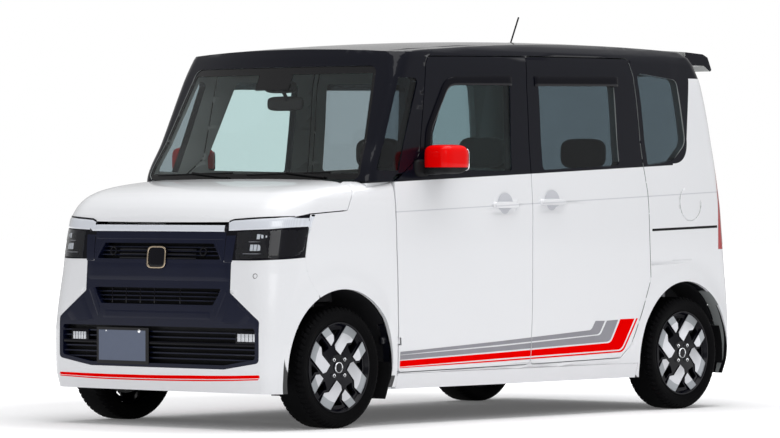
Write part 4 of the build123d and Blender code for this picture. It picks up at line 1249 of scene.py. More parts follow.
def rectangle(left: float, right: float, low: float, high: float) -> tuple:
    """The upper and lower line of a rectangle on the nose."""
    return ((left, high), (right, high)), ((left, low), (right, low))


# Frame bars inside each lamp: the lines, the thickness, and points along and across.
LAMP_FRAMES = ((rectangle(0.545, 0.660, 0.839, 0.842), 0.0016, 12, 3),
               (rectangle(0.520, 0.800, 0.786, 0.789), 0.0016, 20, 3),
               ((((0.730, 0.846), (0.762, 0.846)), ((0.690, 0.792), (0.704, 0.792))), 0.0012, 8, 5))
FRAME_LIFT = 0.0026
LENS_LIFT = 0.0060


@dataclass
class Nose:
    """Everything laid on the nose: fascia relief, light bar, lamps, badge, plate, fog lamps, stripe."""

    trim: Trim
    skin: NoseSkin

    def slab(self, lines: tuple, lift: float, thick: float, columns: int = 24, rows: int = 5,
             soften: int = 0) -> tuple:
        """A slab on the nose between two lines."""
        return band(self.skin, lines[0], lines[1], columns, rows, lift, thick, soften)

    def puck(self, run: float, z: float, radius: float, lift: float, thick: float, squareness: float = 2.0,
             hole: float = 0.0, wide: float = 1.0) -> tuple:
        """A domed disc, or a ring when it has a hole.

        Rings of points at radius r stand r / |(cos t, sin t)|_p off the middle, with p the squareness.

        Args:
            run: the middle's distance along the outline.
            z: the middle's height.
            radius: outer radius.
            lift: base over the surface.
            thick: height of the dome.
            squareness: 2 for a circle, more for a rounded square.
            hole: radius of the hole.
            wide: the shape's width over its height.

        Returns:
            The vertices and the quads.
        """
        segments = 48
        turn = np.linspace(0, 2 * math.pi, segments, endpoint=False)
        norm = np.abs(np.cos(turn)) ** squareness + np.abs(np.sin(turn)) ** squareness
        reach = norm ** (-1.0 / squareness)
        share = np.array([0.0, 0.0, 0.12, 0.3, 0.7, 0.88, 1.0, 1.0])
        rise = np.array([0.0, 0.6, 0.9, 1.0, 1.0, 0.9, 0.6, 0.0])
        if not hole:
            share, rise = share[3:], rise[3:]
            share = np.concatenate([[0.02], share[1:]])
        radii = hole + (radius - hole) * share
        runs = run + np.outer(radii, np.cos(turn) * reach) * wide
        heights = z + np.outer(radii, np.sin(turn) * reach)
        points = self.skin.at(runs, heights, lift + thick * np.repeat(rise[:, None], segments, 1))
        count = len(radii)
        faces = grid_faces(count, segments, True, True) if hole else capped_faces(count, segments)
        return points.reshape(-1, 3), faces

    def fascia(self) -> None:
        """Raised panels of the fascia, the light bar over them, and bars in the openings."""
        relief = [self.slab(lines, -0.0026, 0.0045, 40, 7) for lines in FASCIA_BLOCKS]
        self.trim.add("fascia_relief", relief, "satin_black", "body", "gloss_black")
        bars = [self.slab(rectangle(s - 0.003, s + 0.003, 0.560, 0.628), -0.012, 0.003, 3, 5)
                for s in UPRIGHTS]
        bars.append(self.slab(LOWER_BAR, -0.004, 0.004, 60, 4))
        bars += [self.slab(rectangle(left, right, z, z + 0.006), 0.0, 0.003, 12, 3)
                 for left, right in SLOT_SPANS for z in SLOT_HEIGHTS]
        self.trim.add("fascia_bars", bars, "gloss_black", "body", "gloss_black")
        discs = [self.puck(run, DISC_Z, 0.021, 0.0, 0.003, 2.0, 0.014) for run in (-DISC_RUN, DISC_RUN)]
        self.trim.add("fascia_discs", discs, "gloss_black", "body", "gloss_black")
        bar = self.slab(rectangle(-0.452, 0.408, 0.884, 0.914), -0.002, 0.006, 60, 7)
        self.trim.add("light_bar", [bar], "lamp_strip", "body", "lamp_plastic")
        ends = [self.slab(rectangle(left, left + 0.016, 0.882, 0.916), -0.001, 0.007, 5, 5)
                for left in (-0.455, 0.395)]
        self.trim.add("light_bar_ends", ends, "gloss_black", "body", "lamp_plastic")

    def backing(self) -> None:
        """A dark duct wall behind the openings."""
        wall = self.slab(DUCT_WALL, -0.047, 0.003, 40, 20)
        self.trim.add("grille_backing", [wall], "black_plastic", "body", "gloss_black")

    def badge(self) -> None:
        """A plain rounded-square ring over a dark field."""
        ring = self.puck(0.0, BADGE_Z, 0.050, 0.0045, 0.004, BADGE_SQUARENESS, 0.0435, BADGE_WIDE)
        field = self.puck(0.0, BADGE_Z, 0.0445, 0.002, 0.0035, BADGE_SQUARENESS, 0.0, BADGE_WIDE)
        self.trim.add("badge_ring", [ring], "bronze_trim", "body", "gloss_black")
        self.trim.add("badge_field", [field], "gloss_black", "body", "gloss_black")

    def plate(self) -> None:
        """The two bolts of the plate."""
        self.trim.add("plate_screws",
                      [self.puck(y, PLATE_BOLT_Z, 0.0085, 0.0, 0.0045) for y in PLATE_BOLT_Y],
                      "chrome", "body", "plate")

    def lamps(self) -> None:
        """Light strip, lens and modules of each headlamp, and the fog lamps."""
        for side in Side:
            mirror, word = side.mirrored, side.word
            self.trim.add(f"{word}_light_strip",
                          [self.slab((STRIP_TOP, STRIP_BOTTOM), 0.003, 0.0035, 60, 9)],
                          "lamp_strip", "body", "lamp_plastic", mirror)
            seam = tuple((run, z + 0.008) for run, z in STRIP_TOP)
            self.trim.add(f"{word}_strip_seam", [self.slab((seam, STRIP_TOP), 0.0025, 0.003, 60, 4)],
                          "gloss_black", "body",
                          "lamp_plastic", mirror)
            modules = [self.slab(rectangle(left + k * MODULE_PITCH, left + MODULE_WIDTH + k * MODULE_PITCH,
                                           low, high),
                                 0.0030, 0.002, 4, 4) for left, low, high in MODULE_ROWS for k in range(3)]
            self.trim.add(f"{word}_lamp_modules", modules, "lamp_bulb", "body", "lamp_plastic", mirror)
            frames = [self.slab(lines, FRAME_LIFT, thick, columns, rows)
                      for lines, thick, columns, rows in LAMP_FRAMES]
            self.trim.add(f"{word}_lamp_frames", frames, "steel", "body", "lamp_plastic", mirror)
            lens = self.slab((LAMP_TOP, LAMP_BOTTOM), LENS_LIFT, 0.0012, 50, 12)
            self.trim.add(f"{word}_lamp_lens", [lens], "lamp_cover", "body", "lamp_plastic", mirror)
        for number, (left, right, low, high) in enumerate(FOG_LAMPS):
            step = (right - left) / FOG_CELLS
            cells = [self.slab(rectangle(left + k * step + 0.002, left + (k + 1) * step - 0.002,
                                         low + 0.006, high - 0.006), -0.004, 0.004, 4, 4)
                     for k in range(FOG_CELLS)]
            box = self.slab(rectangle(left - 0.012, right + 0.012, low - 0.008, high + 0.008), -0.008,
                            0.004, 6, 4)
            self.trim.add(f"fog_lamp_{number}", cells, "lamp_bulb", "body", "lamp_plastic")
            self.trim.add(f"fog_lamp_box_{number}", [box], "gloss_black", "body", "lamp_plastic")

    def bumper(self) -> None:
        """Double red line along the bumper's foot, and a parking sensor."""
        def between(share: float) -> tuple:
            """The line at a share of the way from the stripe's top to its bottom."""
            upper, lower = resampled(STRIPE_TOP, 40, 3), resampled(STRIPE_BOTTOM, 40, 3)
            return tuple(map(tuple, upper * (1 - share) + lower * share))
        lines = [self.slab((between(0.0), between(0.62)), 0.0002, 0.0004, 120, 3),
                 self.slab((between(0.76), between(1.0)), 0.0002, 0.0004, 120, 3)]
        self.trim.add("bumper_stripe", lines, "red_tape", "body", "white_paint")
        button = self.puck(SENSOR_RUN, SENSOR_Z, 0.0085, 0.0, 0.0026)
        ring = self.puck(SENSOR_RUN, SENSOR_Z, 0.0115, 0.0, 0.0020, 2.0, 0.0088)
        self.trim.add("parking_sensor", [button], "white_paint", "body", "white_paint")
        self.trim.add("parking_sensor_ring", [ring], "black_plastic", "body", "white_paint")

    def build(self) -> None:
        """Builds it all."""
        self.fascia()
        self.backing()
        self.badge()
        self.plate()
        self.lamps()
        self.bumper()


# ---- sides -----------------------------------------------------------------------------------------------
STRIPE_FRONT = 0.842
STRIPE_MIDDLE = 0.155
# Height of each stripe's two edges at those two places, then each edge's corner and its top end (x, z).
STRIPE_EDGES = {
    "upper_grey": ((0.334, 0.366, (-0.534, 0.403), (-0.566, 0.446)),
                   (0.321, 0.349, (-0.595, 0.382), (-0.638, 0.445))),
    "lower_grey": ((0.3185, 0.342, (-0.607, 0.377), (-0.654, 0.445)),
                   (0.298, 0.320, (-0.681, 0.345), (-0.742, 0.448))),
    "red": ((0.293, 0.312, (-0.690, 0.338), (-0.760, 0.450)),
            (0.266, 0.285, (-0.776, 0.304), (-0.871, 0.451))),
    "thin_red": ((0.263, 0.278, (-0.784, 0.298), (-0.884, 0.451)),
                 (0.260, 0.271, (-0.792, 0.291), (-0.896, 0.452)))}
TAPE_LIFT = 0.0006
TAPE_THICK = 0.0003
# upper and lower line of the near-black strip over the slide rail's groove: dark rail and painted groove
# shade
RAIL_AND_GROOVE_SHADE = (((-1.012, 0.884), (-1.552, 0.898)), ((-1.012, 0.872), (-1.552, 0.886)))
PULLS = ((0.119, 1.002), (-0.228, 1.015))                      # middle of each door's pull bar (x, z)
PULL_LIFT = 0.009
PULL_SIZE = (0.094, 0.010, 0.0155)
END_SHIFTS = (-0.070, 0.078)
END_LIFT = 0.0184
END_SIZE = (0.0060, 0.0012, 0.0070)
# half size of the flat grey disc that paints the hand recess's shade
DISC_SIZE = (0.058, 0.0012, 0.058)
DOOR_EDGE = -0.0815           # front door's rear edge
SLIDING_EDGE = -0.0865        # sliding door's front edge
VISORS = {"front": (((0.664, 1.232), (0.646, 1.350), (0.505, 1.572), (0.455, 1.596), (0.020, 1.608)),
                    ((0.626, 1.232), (0.610, 1.345), (0.478, 1.546), (0.445, 1.556), (0.020, 1.562))),
          "rear": (((-0.150, 1.608), (-0.790, 1.618)), ((-0.150, 1.562), (-0.790, 1.572)))}


@dataclass
class Flanks:
    """Stripes, window visors, slide rails and door handles on both sides."""

    trim: Trim
    skin: SideSkin

    def stripes(self, side: Side) -> None:
        """Grey and red bands that run level and turn up before the rear arch, split at the door gap.

        Args:
            side: the side of the car.
        """
        door = f"front_{side.word}_door"
        for name, edges in STRIPE_EDGES.items():
            finish = "grey_tape" if "grey" in name else "red_tape"
            front, rear = [], []
            for first, second, corner, end in edges:
                knots = np.array([(STRIPE_FRONT, first), (STRIPE_MIDDLE, second), corner])[::-1]
                split = [float(np.interp(x, knots[:, 0], knots[:, 1])) for x in (DOOR_EDGE, SLIDING_EDGE)]
                front.append(((STRIPE_FRONT, first), (STRIPE_MIDDLE, second), (DOOR_EDGE, split[0])))
                rear.append(((SLIDING_EDGE, split[1]), corner, end))
            ahead = band(self.skin, front[0], front[1], 60, 5, TAPE_LIFT, TAPE_THICK)
            behind = band(self.skin, rear[0], rear[1], 140, 5, TAPE_LIFT, TAPE_THICK, 4)
            self.trim.add(f"{side.word}_{name}_front", [ahead], finish, door, "white_paint", side.mirrored)
            self.trim.add(f"{side.word}_{name}_rear", [behind], finish, "body", "white_paint",
                          side.mirrored)

    def visors(self, side: Side) -> None:
        """Dark strips that stand off the tops of the side windows."""
        for name, (top, bottom) in VISORS.items():
            body = f"front_{side.word}_door" if name == "front" else "body"
            visor = band(self.skin, top, bottom, 60, 7, 0.002, 0.006, 2)
            self.trim.add(f"{side.word}_{name}_visor", [visor], "gloss_black", body, "black_paint",
                          side.mirrored)

    def rail(self, side: Side) -> None:
        """A near-black strip over the groove behind the sliding door: the dark slide rail, and painted shade
        of the groove.
        """
        rail = band(self.skin, *RAIL_AND_GROOVE_SHADE, 60, 4, 0.0, 0.0008)
        self.trim.add(f"{side.word}_slide_rail", [rail], "black_plastic", "body", "white_paint",
                      side.mirrored)

    def handles(self, side: Side) -> None:
        """Pull bars with end covers, each over a flat grey disc that covers the hand recess; the disc's grey
        is painted shade of the recess.

        Args:
            side: the side of the car.
        """
        for (x, z), body in zip(PULLS, (f"front_{side.word}_door", "body")):
            y = float(self.skin.at(np.array([x]), np.array([z]), 0.0)[0, 1])
            name = f"{side.word}_{'front' if x > 0 else 'rear'}"
            bar = superquadric((x, y + PULL_LIFT, z), PULL_SIZE, 0.5, rows=20, columns=40)
            mirror = side.mirrored
            self.trim.add(f"{name}_pull", [bar], "white_paint", body, "white_paint", mirror, 60.0)
            ends = [superquadric((x + shift, y + END_LIFT, z), END_SIZE, 0.8, rows=12, columns=24)
                    for shift in END_SHIFTS]
            self.trim.add(f"{name}_lock", ends, "black_plastic", body, "white_paint", mirror, 60.0)
            # flat disc in grey paint over the recess: painted shade of the hand recess
            shade = superquadric((x - 0.004, y, z - 0.001), DISC_SIZE, 1.0, rows=16, columns=48)
            self.trim.add(f"{name}_bowl", [shade], "bowl_shade", body, "white_paint", mirror, 60.0)

    def build(self) -> None:
        """Builds both sides."""
        for side in Side:
            self.stripes(side)
            self.visors(side)
            self.rail(side)
            self.handles(side)


def superquadric(centre: tuple, radii: tuple, squareness: float, low: float = -90.0, high: float = 90.0,
                 rows: int = 40, columns: int = 72) -> tuple[np.ndarray, list]:
    """Rounded box between two latitudes.

    A point is centre + radii * (c(u) c(v), c(u) s(v), s(u)), with c and s the cosine and sine raised to the
    squareness with their signs kept.

    Args:
        centre: its middle.
        radii: half its size along x, y and z.
        squareness: 1 for an ellipsoid, nearer 0 for a box.
        low: lowest latitude in degrees.
        high: highest latitude.
        rows: steps of latitude.
        columns: steps of longitude.

    Returns:
        The vertices and the faces.
    """
    def power(value: np.ndarray) -> np.ndarray:
        """A value raised to the squareness with its sign kept."""
        return np.sign(value) * np.abs(value) ** squareness
    u = np.radians(np.linspace(low, high, rows))[:, None]
    v = np.linspace(-math.pi, math.pi, columns, endpoint=False)[None]
    flat = np.maximum(power(np.cos(u)), 0.001)
    x, y, z = flat * power(np.cos(v)), flat * power(np.sin(v)), power(np.sin(u)) + 0 * v
    points = np.stack([x, y, z], -1).reshape(-1, 3) * np.array(radii) + np.array(centre)
    return points, capped_faces(rows, columns, True)


@dataclass
class Mirrors:
    """Door mirrors: red cap over a black shell and foot, with a silvered pane at the back."""

    trim: Trim
    middle: tuple = (0.616, 0.802, 1.211)
    radii: tuple = (0.088, 0.078, 0.068)
    squareness: float = 0.45
    cap_low: float = -14.0                    # latitudes between which cap and shell overlap
    shell_high: float = -8.0
    wall: float = 0.0025
    foot: tuple = ((0.030, -0.068, -0.052), (0.050, 0.050, 0.018))     # place from the middle, half size
    root: tuple = ((0.075, -0.090, -0.040), (0.052, 0.024, 0.040))
    pane: tuple = (0.004, 0.066, 0.052)

    def stub(self, shape: tuple, squareness: float) -> tuple[np.ndarray, list]:
        """A rounded block placed from the mirror's middle."""
        away, size = shape
        return superquadric(tuple(a + b for a, b in zip(self.middle, away)), size, squareness)

    def build(self) -> None:
        """Builds both mirrors."""
        x, y, z = self.middle
        for side in Side:
            body, mirror = f"front_{side.word}_door", side.mirrored
            dome = superquadric(self.middle, self.radii, self.squareness, self.cap_low)
            cap = self.trim.add(f"{side.word}_mirror_cap", [dome], "red_paint", body, "red_paint", mirror)
            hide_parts(f"{side.word}_mirror")
            inner = tuple(r - self.wall for r in self.radii)
            shell = superquadric(self.middle, inner, self.squareness, high=self.shell_high)
            blocks = [shell, self.stub(self.foot, 0.5), self.stub(self.root, 0.6)]
            self.trim.add(f"{side.word}_mirror_shell", blocks, "black_plastic", body, "red_paint", mirror)
            pane = superquadric((x + self.wall - self.radii[0], y, z), self.pane, 0.35)
            self.trim.add(f"{side.word}_mirror_pane", [pane], "chrome", body, "red_paint", mirror)


# ---- cabin -----------------------------------------------------------------------------------------------
SEAT_CUSHION = ((-0.040, 0.512), (0.500, 0.512), (0.522, 0.560), (0.500, 0.640), (0.150, 0.608),
                (-0.040, 0.600))
SEAT_BACK = ((0.128, 0.642), (0.034, 0.900), (-0.044, 1.136), (-0.100, 1.140), (-0.162, 1.126),
             (-0.062, 0.680),
             (-0.040, 0.642))
HEADREST = ((-0.107, 0.0, 1.252), (0.037, 0.132, 0.074))      # middle and half size
SEAT_PLACES = {"front_seats": ((-0.090, -0.330), (-0.090, 0.330)),
               "rear_seats": ((-0.960, -0.250), (-0.960, 0.250))}


@dataclass
class Seats:
    """Padded cushions and backs, blown up once each by cloth, and rounded-block headrests, all set out four
    times.
    """

    finishes: Finishes
    voxel: float = 0.014
    pressure: float = 4.0
    frames: int = 20
    cap: float = 0.024
    width: float = 0.486
    inset: float = 0.016
    channels: tuple = (-0.135, 0.135)

    def start(self, name: str, outline: tuple) -> Piece:
        """The unblown pad: its side outline drawn in and carried across, then remeshed in voxels.

        Args:
            name: the pad's name.
            outline: its side outline (x, z).

        Returns:
            The pad.
        """
        corners = np.array(outline)
        middle = corners.mean(0)
        size = np.ptp(corners, axis=0)
        corners = middle + (corners - middle) * (1 - 2 * self.inset / size)
        across = np.array([-0.5, -0.5, 0.5, 0.5]) * (self.width - 2 * self.inset)
        scale = np.array([0.93, 1.0, 1.0, 0.93])
        across = across + np.array([-0.004, 0.006, -0.006, 0.004])
        rings = [np.stack([middle[0] + (corners[:, 0] - middle[0]) * k, np.full(len(corners), y),
                           middle[1] + (corners[:, 1] - middle[1]) * k], -1) for y, k in zip(across, scale)]
        count = len(corners)
        faces = [tuple(range(count)), tuple(range(3 * count, 4 * count))[::-1]]
        faces += [tuple(f) for f in grid_faces(4, count, close_columns=True)]
        mesh = bpy.data.meshes.new(name)
        mesh.from_pydata(np.concatenate(rings).tolist(), [], faces)
        outward(mesh)
        piece = placed(name, mesh)
        remesh = piece.modifiers.new("voxels", "REMESH")
        remesh.mode = "VOXEL"
        remesh.voxel_size = self.voxel
        bake_modifiers(piece)
        return piece

    def blown(self, piece: Piece) -> None:
        """Swells the pad with cloth under pressure and caps how far any point moves.

        Args:
            piece: the pad, whose mesh is changed.
        """
        before = vectors(piece.data)
        cloth = piece.modifiers.new("cover", "CLOTH")
        cloth.settings.use_pressure = True
        cloth.settings.uniform_pressure_force = self.pressure
        cloth.settings.effector_weights.gravity = 0.0
        cloth.settings.quality = 5
        scene = bpy.context.scene
        for frame in range(1, self.frames + 1):
            scene.frame_set(frame)
        bake_modifiers(piece)
        scene.frame_set(1)
        move = vectors(piece.data) - before
        length = np.linalg.norm(move, axis=1, keepdims=True)
        move *= np.minimum(1.0, self.cap / np.maximum(length, 1e-9))
        piece.data.vertices.foreach_set("co", (before + move).ravel())
        LOG.info("blown %s: mean %.4f most %.4f", piece.name, float(length.mean()), float(length.max()))

    def pad(self, name: str, outline: tuple) -> Surface:
        """One finished pad at y = 0 with sewn channels.

        A channel at y = c draws the surface in along its normal by 5 mm * exp(-((y - c) / 8 mm)^2).

        Args:
            name: the pad's name.
            outline: its side outline (x, z).

        Returns:
            The vertices and the quads.
        """
        piece = self.start(name, outline)
        self.blown(piece)
        smooth = piece.modifiers.new("finer", "SUBSURF")
        smooth.levels = smooth.render_levels = 1
        bake_modifiers(piece)
        mesh = piece.data
        points, normals = vectors(mesh), vectors(mesh, "normal")
        for channel in self.channels:
            points = points - normals * (0.005 * np.exp(-((points[:, 1:2] - channel) / 0.008) ** 2))
        loops = np.empty(len(mesh.loops), np.int32)
        mesh.loops.foreach_get("vertex_index", loops)
        bpy.data.objects.remove(piece)
        return points, loops.reshape(-1, 4)

    def build(self) -> None:
        """Builds the three pads and joins their copies for each row of seats."""
        pads = [self.pad("pad_cushion", SEAT_CUSHION), self.pad("pad_back", SEAT_BACK),
                superquadric(*HEADREST, 0.55, rows=30, columns=48)]
        for node, places in SEAT_PLACES.items():
            points, faces = joined([(corners + np.array([x, y, 0.0]), polygons)
                                    for x, y in places for corners, polygons in pads])
            piece = make_piece(f"{node}_pads", points, faces, self.finishes["seat_fabric"], "body",
                               60.0)
            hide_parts(node)
            LOG.info("seats %s: %d faces", node, len(piece.data.polygons))


def tube(path: np.ndarray, radius: float, segments: int = 10) -> tuple[np.ndarray, list]:
    """A round rod along a path: circles square to the path's local direction.

    Args:
        path: one row for each point.
        radius: the rod's radius.
        segments: points round it.

    Returns:
        The vertices and the faces.
    """
    along = np.gradient(path, axis=0)
    along /= np.linalg.norm(along, axis=1, keepdims=True)
    side = np.cross(along, np.array([0.0, 0.0, 1.0]) + 0.01)
    side /= np.linalg.norm(side, axis=1, keepdims=True)
    over = np.cross(side, along)
    turn = np.linspace(0, 2 * math.pi, segments, endpoint=False)
    ring = np.cos(turn)[None, :, None] * side[:, None] + np.sin(turn)[None, :, None] * over[:, None]
    points = path[:, None] + radius * ring
    return points.reshape(-1, 3), capped_faces(len(path), segments)


WIPERS = (((-0.60, 1.140), (-0.08, 1.150)), ((0.02, 1.140), (0.50, 1.152)))    # blade ends (y, z)
# Camera housing and inner mirror: (distance behind the glass, y, z), half size, squareness; then the stalk.
INNER_BLOCKS = (((0.055, 0.0, 1.552), (0.040, 0.085, 0.030), 0.6),
                ((0.110, -0.02, 1.475), (0.014, 0.110, 0.034), 0.5))
STALK = ((0.060, 0.0, 1.545), (0.085, 0.0, 1.515), (0.108, 0.0, 1.482))


@dataclass
class ScreenFittings:
    """Wipers outside the windscreen; camera housing and mirror inside it."""

    trim: Trim
    frame: dict

    def __post_init__(self) -> None:
        """Keeps the windscreen's faces ready for ray casts."""
        work = bmesh.new()
        work.from_mesh(self.frame["nodes"]["windscreen"].data)
        self.glass = BVHTree.FromBMesh(work)
        work.free()

    def on_glass(self, y: float, z: float, off: float) -> tuple:
        """The point of the windscreen's outer face at (y, z), moved off it along X."""
        place = self.glass.ray_cast(Vector((2.5, y, z)), Vector((-1.0, 0.0, 0.0)))[0]
        return (place.x + off if place else 1.0, y, z)

    def build(self) -> None:
        """Builds them."""
        for number, (start, end) in enumerate(WIPERS):
            blade = np.linspace(start, end, 12)
            arm = np.linspace((end[0] - 0.02, 1.128), ((start[0] + end[0]) / 2, 1.150), 6)
            rods = [tube(np.array([self.on_glass(y, z, off) for y, z in line]), radius)
                    for line, off, radius in ((blade, 0.008, 0.005), (arm, 0.018, 0.006))]
            self.trim.add(f"wiper_{number}", rods, "black_plastic", "body", "black_plastic")
        x = self.on_glass(0.0, 1.555, 0.0)[0]
        inside = [superquadric((x - behind, y, z), size, squareness)
                  for (behind, y, z), size, squareness in INNER_BLOCKS]
        stalk = tube(np.array([(x - behind, y, z) for behind, y, z in STALK]), 0.009)
        self.trim.add("camera_housing", [*inside, stalk], "interior_plastic", "body", "interior_plastic")


# ---- wheels ----------------------------------------------------------------------------------------------
# Corners (towards the rear, up) of one long and one short facet from the hub, and the spoke face that
# carries them (distance from the hub, height along the axle).
LONG_FACET = ((-0.0235, 0.1016), (0.056, 0.191), (0.127, 0.157), (0.092, 0.111), (0.060, 0.108),
              (0.012, 0.057),
              (-0.018, 0.081))
SHORT_FACET = ((-0.028, 0.145), (-0.075, 0.187), (-0.116, 0.162), (-0.046, 0.099), (-0.027, 0.121))
FACE_RADII = (0.058, 0.120, 0.186, 0.197)
FACE_HEIGHTS = (0.070, 0.067, 0.064, 0.070)
NUT_CIRCLE = 0.050
NUT = np.array(((0.0, 0.070), (0.0045, 0.070), (0.0050, 0.076), (0.0085, 0.0765), (0.0095, 0.071),
                (0.0098, 0.066)))
CAP_RING = np.array(((0.0205, 0.0715), (0.0215, 0.0745), (0.0240, 0.0750), (0.0262, 0.0720),
                     (0.0262, 0.0680)))
# Tyre section, each corner (radius, inset from the half width): the outer wall to the bead, then the cavity.
TYRE_WALL = np.array(((0.254, 0.0015), (0.246, 0.0), (0.240, 0.0), (0.2385, 0.0006), (0.231, 0.0006),
                      (0.2295, 0.0016), (0.222, 0.003), (0.213, 0.0065), (0.2065, 0.0105), (0.2045, 0.016)))
TYRE_CAVITY = np.array(((0.2165, 0.012), (0.240, 0.012), (0.258, 0.03)))


@dataclass
class Wheel:
    """One wheel's tyre, the silver facets of its pinwheel face, its nuts and its cap ring."""

    axle: str
    side: Side
    finishes: Finishes
    radius: float = 0.274
    width: float = 0.165
    segments: int = 360
    grooves: tuple = (-0.040, -0.014, 0.014, 0.040)
    groove_half: float = 0.0032
    shoulder: tuple = (0.047, 0.079)
    groove_depth: float = 0.006
    cuts: int = 60                            # shoulder cuts round the tyre
    cut_slant: float = 14.0                   # cut pitches that a cut leans by in a metre across
    cut_share: float = 0.22                   # share of the pitch that a cut takes

    @property
    def body(self) -> str:
        """The wheel's body."""
        return f"{self.axle}_{self.side.word}_wheel"

    @property
    def centre(self) -> tuple[float, float, float]:
        """The wheel's middle."""
        return (FRONT_AXLE_X if self.axle == "front" else REAR_AXLE_X, WHEEL_Y * self.side.value, HUB_Z)

    def tyre(self) -> Piece:
        """Tyre with four ring grooves and slanted shoulder cuts.

        The section is a rounded band. The tread radius drops by a groove's depth where the distance across
        lies in a ring groove, or on the shoulders where the angle, slanted with the distance, lies in a cut.

        Returns:
            The tyre.
        """
        half = self.width / 2
        lip = np.array([-0.0008, -0.0001, 0.0001, 0.0008]) + self.groove_half * np.array([-1, -1, 1, 1])
        edges = np.concatenate([np.array(self.grooves)[:, None] + lip,
                                [[-0.027, 0.0, 0.0268, 0.0272]]]).ravel()
        blocks = np.array([0.0468, 0.0472, 0.054, 0.061, 0.067, 0.072, half - 0.006])
        tread_y = np.sort(np.concatenate([edges, blocks, -blocks]))
        across = tread_y / (half - 0.006)
        outer = np.clip(np.abs(across) - 0.80, 0, 1)
        crown = self.radius - 0.0022 * across**2 - 0.010 * outer**1.5 / 0.2**1.5
        wall_r, wall_y = TYRE_WALL[:, 0], half - TYRE_WALL[:, 1]
        cavity = half - TYRE_CAVITY[:, 1]
        inner_r = np.concatenate([TYRE_CAVITY[:, 0], TYRE_CAVITY[::-1, 0]])
        inner_y = np.concatenate([cavity, -cavity[::-1]])
        r = np.concatenate([crown, wall_r, inner_r, wall_r[::-1]])
        y = np.concatenate([tread_y, wall_y, inner_y, -wall_y[::-1]])
        points, faces = lathe(np.stack([r, y], -1), self.segments, self.centre, self.side.value)
        turn = np.repeat(np.linspace(0, 2 * math.pi, self.segments, endpoint=False), len(r))
        ring = np.tile(np.arange(len(r)) < len(across), self.segments)
        reach = np.tile(y, self.segments)
        rings = np.min(np.abs(reach[:, None] - np.array(self.grooves)), axis=1) < self.groove_half
        slanted = np.mod(turn * self.cuts / (2 * math.pi) + np.abs(reach) * self.cut_slant,
                         1.0) < self.cut_share
        sides = (np.abs(reach) > self.shoulder[0]) & (np.abs(reach) < self.shoulder[1])
        cut = np.where(ring & (rings | (slanted & sides)), self.groove_depth, 0.0)
        middle = np.array(self.centre)
        radial = (points - middle) * np.array([1.0, 0.0, 1.0])
        length = np.linalg.norm(radial, axis=1, keepdims=True)
        points = points - radial / length * cut[:, None]
        name = f"{self.axle}_{self.side.word}_tyre"
        piece = make_piece(f"{name}_tread", points, faces, self.finishes["tyre_rubber"],
                           self.body, 32.0, self.side.mirrored)
        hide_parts(name)
        return piece

    def facets(self) -> Piece:
        """Four long and four short machined facets, thin plates on the spokes, turned by quarter turns.

        Returns:
            The facets as one piece.
        """
        plates = []
        for quarter in range(4):
            turn = math.radians(-90.0 * quarter)
            rotation = np.array([[math.cos(turn), math.sin(turn)], [-math.sin(turn), math.cos(turn)]])
            for outline in (LONG_FACET, SHORT_FACET):
                corners = np.array(outline) @ rotation
                plate, plate_faces = prism(corners, -0.0012, 0.0010, 0.975)
                distance = np.hypot(plate[:, 0], plate[:, 2])
                plate[:, 1] += np.interp(distance, FACE_RADII, FACE_HEIGHTS)
                plates.append((plate, plate_faces))
        points, faces = joined(plates)
        points = points * np.array([-1.0, self.side.value, 1.0]) + np.array(self.centre)
        mesh = bpy.data.meshes.new(f"{self.body}_facets")
        mesh.from_pydata(points.tolist(), [], faces)
        outward(mesh)
        mesh.materials.append(self.finishes["machined_silver"])
        return finish_piece(f"{self.body}_facets", mesh, self.body, 25.0)

    def nuts(self) -> Piece:
        """Four wheel nuts and the ring of the hub cap, turned pieces joined in one mesh."""
        places = [(NUT_CIRCLE * math.cos(a), NUT_CIRCLE * math.sin(a), NUT, 24)
                  for a in np.radians([45.0, 135.0, 225.0, 315.0])]
        points, faces = joined([lathe(profile, segments, (x, 0.0, z), self.side.value)
                                for x, z, profile, segments in places + [(0.0, 0.0, CAP_RING, 48)]])
        piece = make_piece(f"{self.body}_nuts", points + np.array(self.centre), faces,
                           self.finishes["chrome"],
                           self.body, 40.0, self.side.mirrored)
        outward(piece.data)
        return piece

    def build(self) -> None:
        """Builds the wheel."""
        self.tyre()
        self.facets()
        self.nuts()
        LOG.info("wheel %s", self.body)


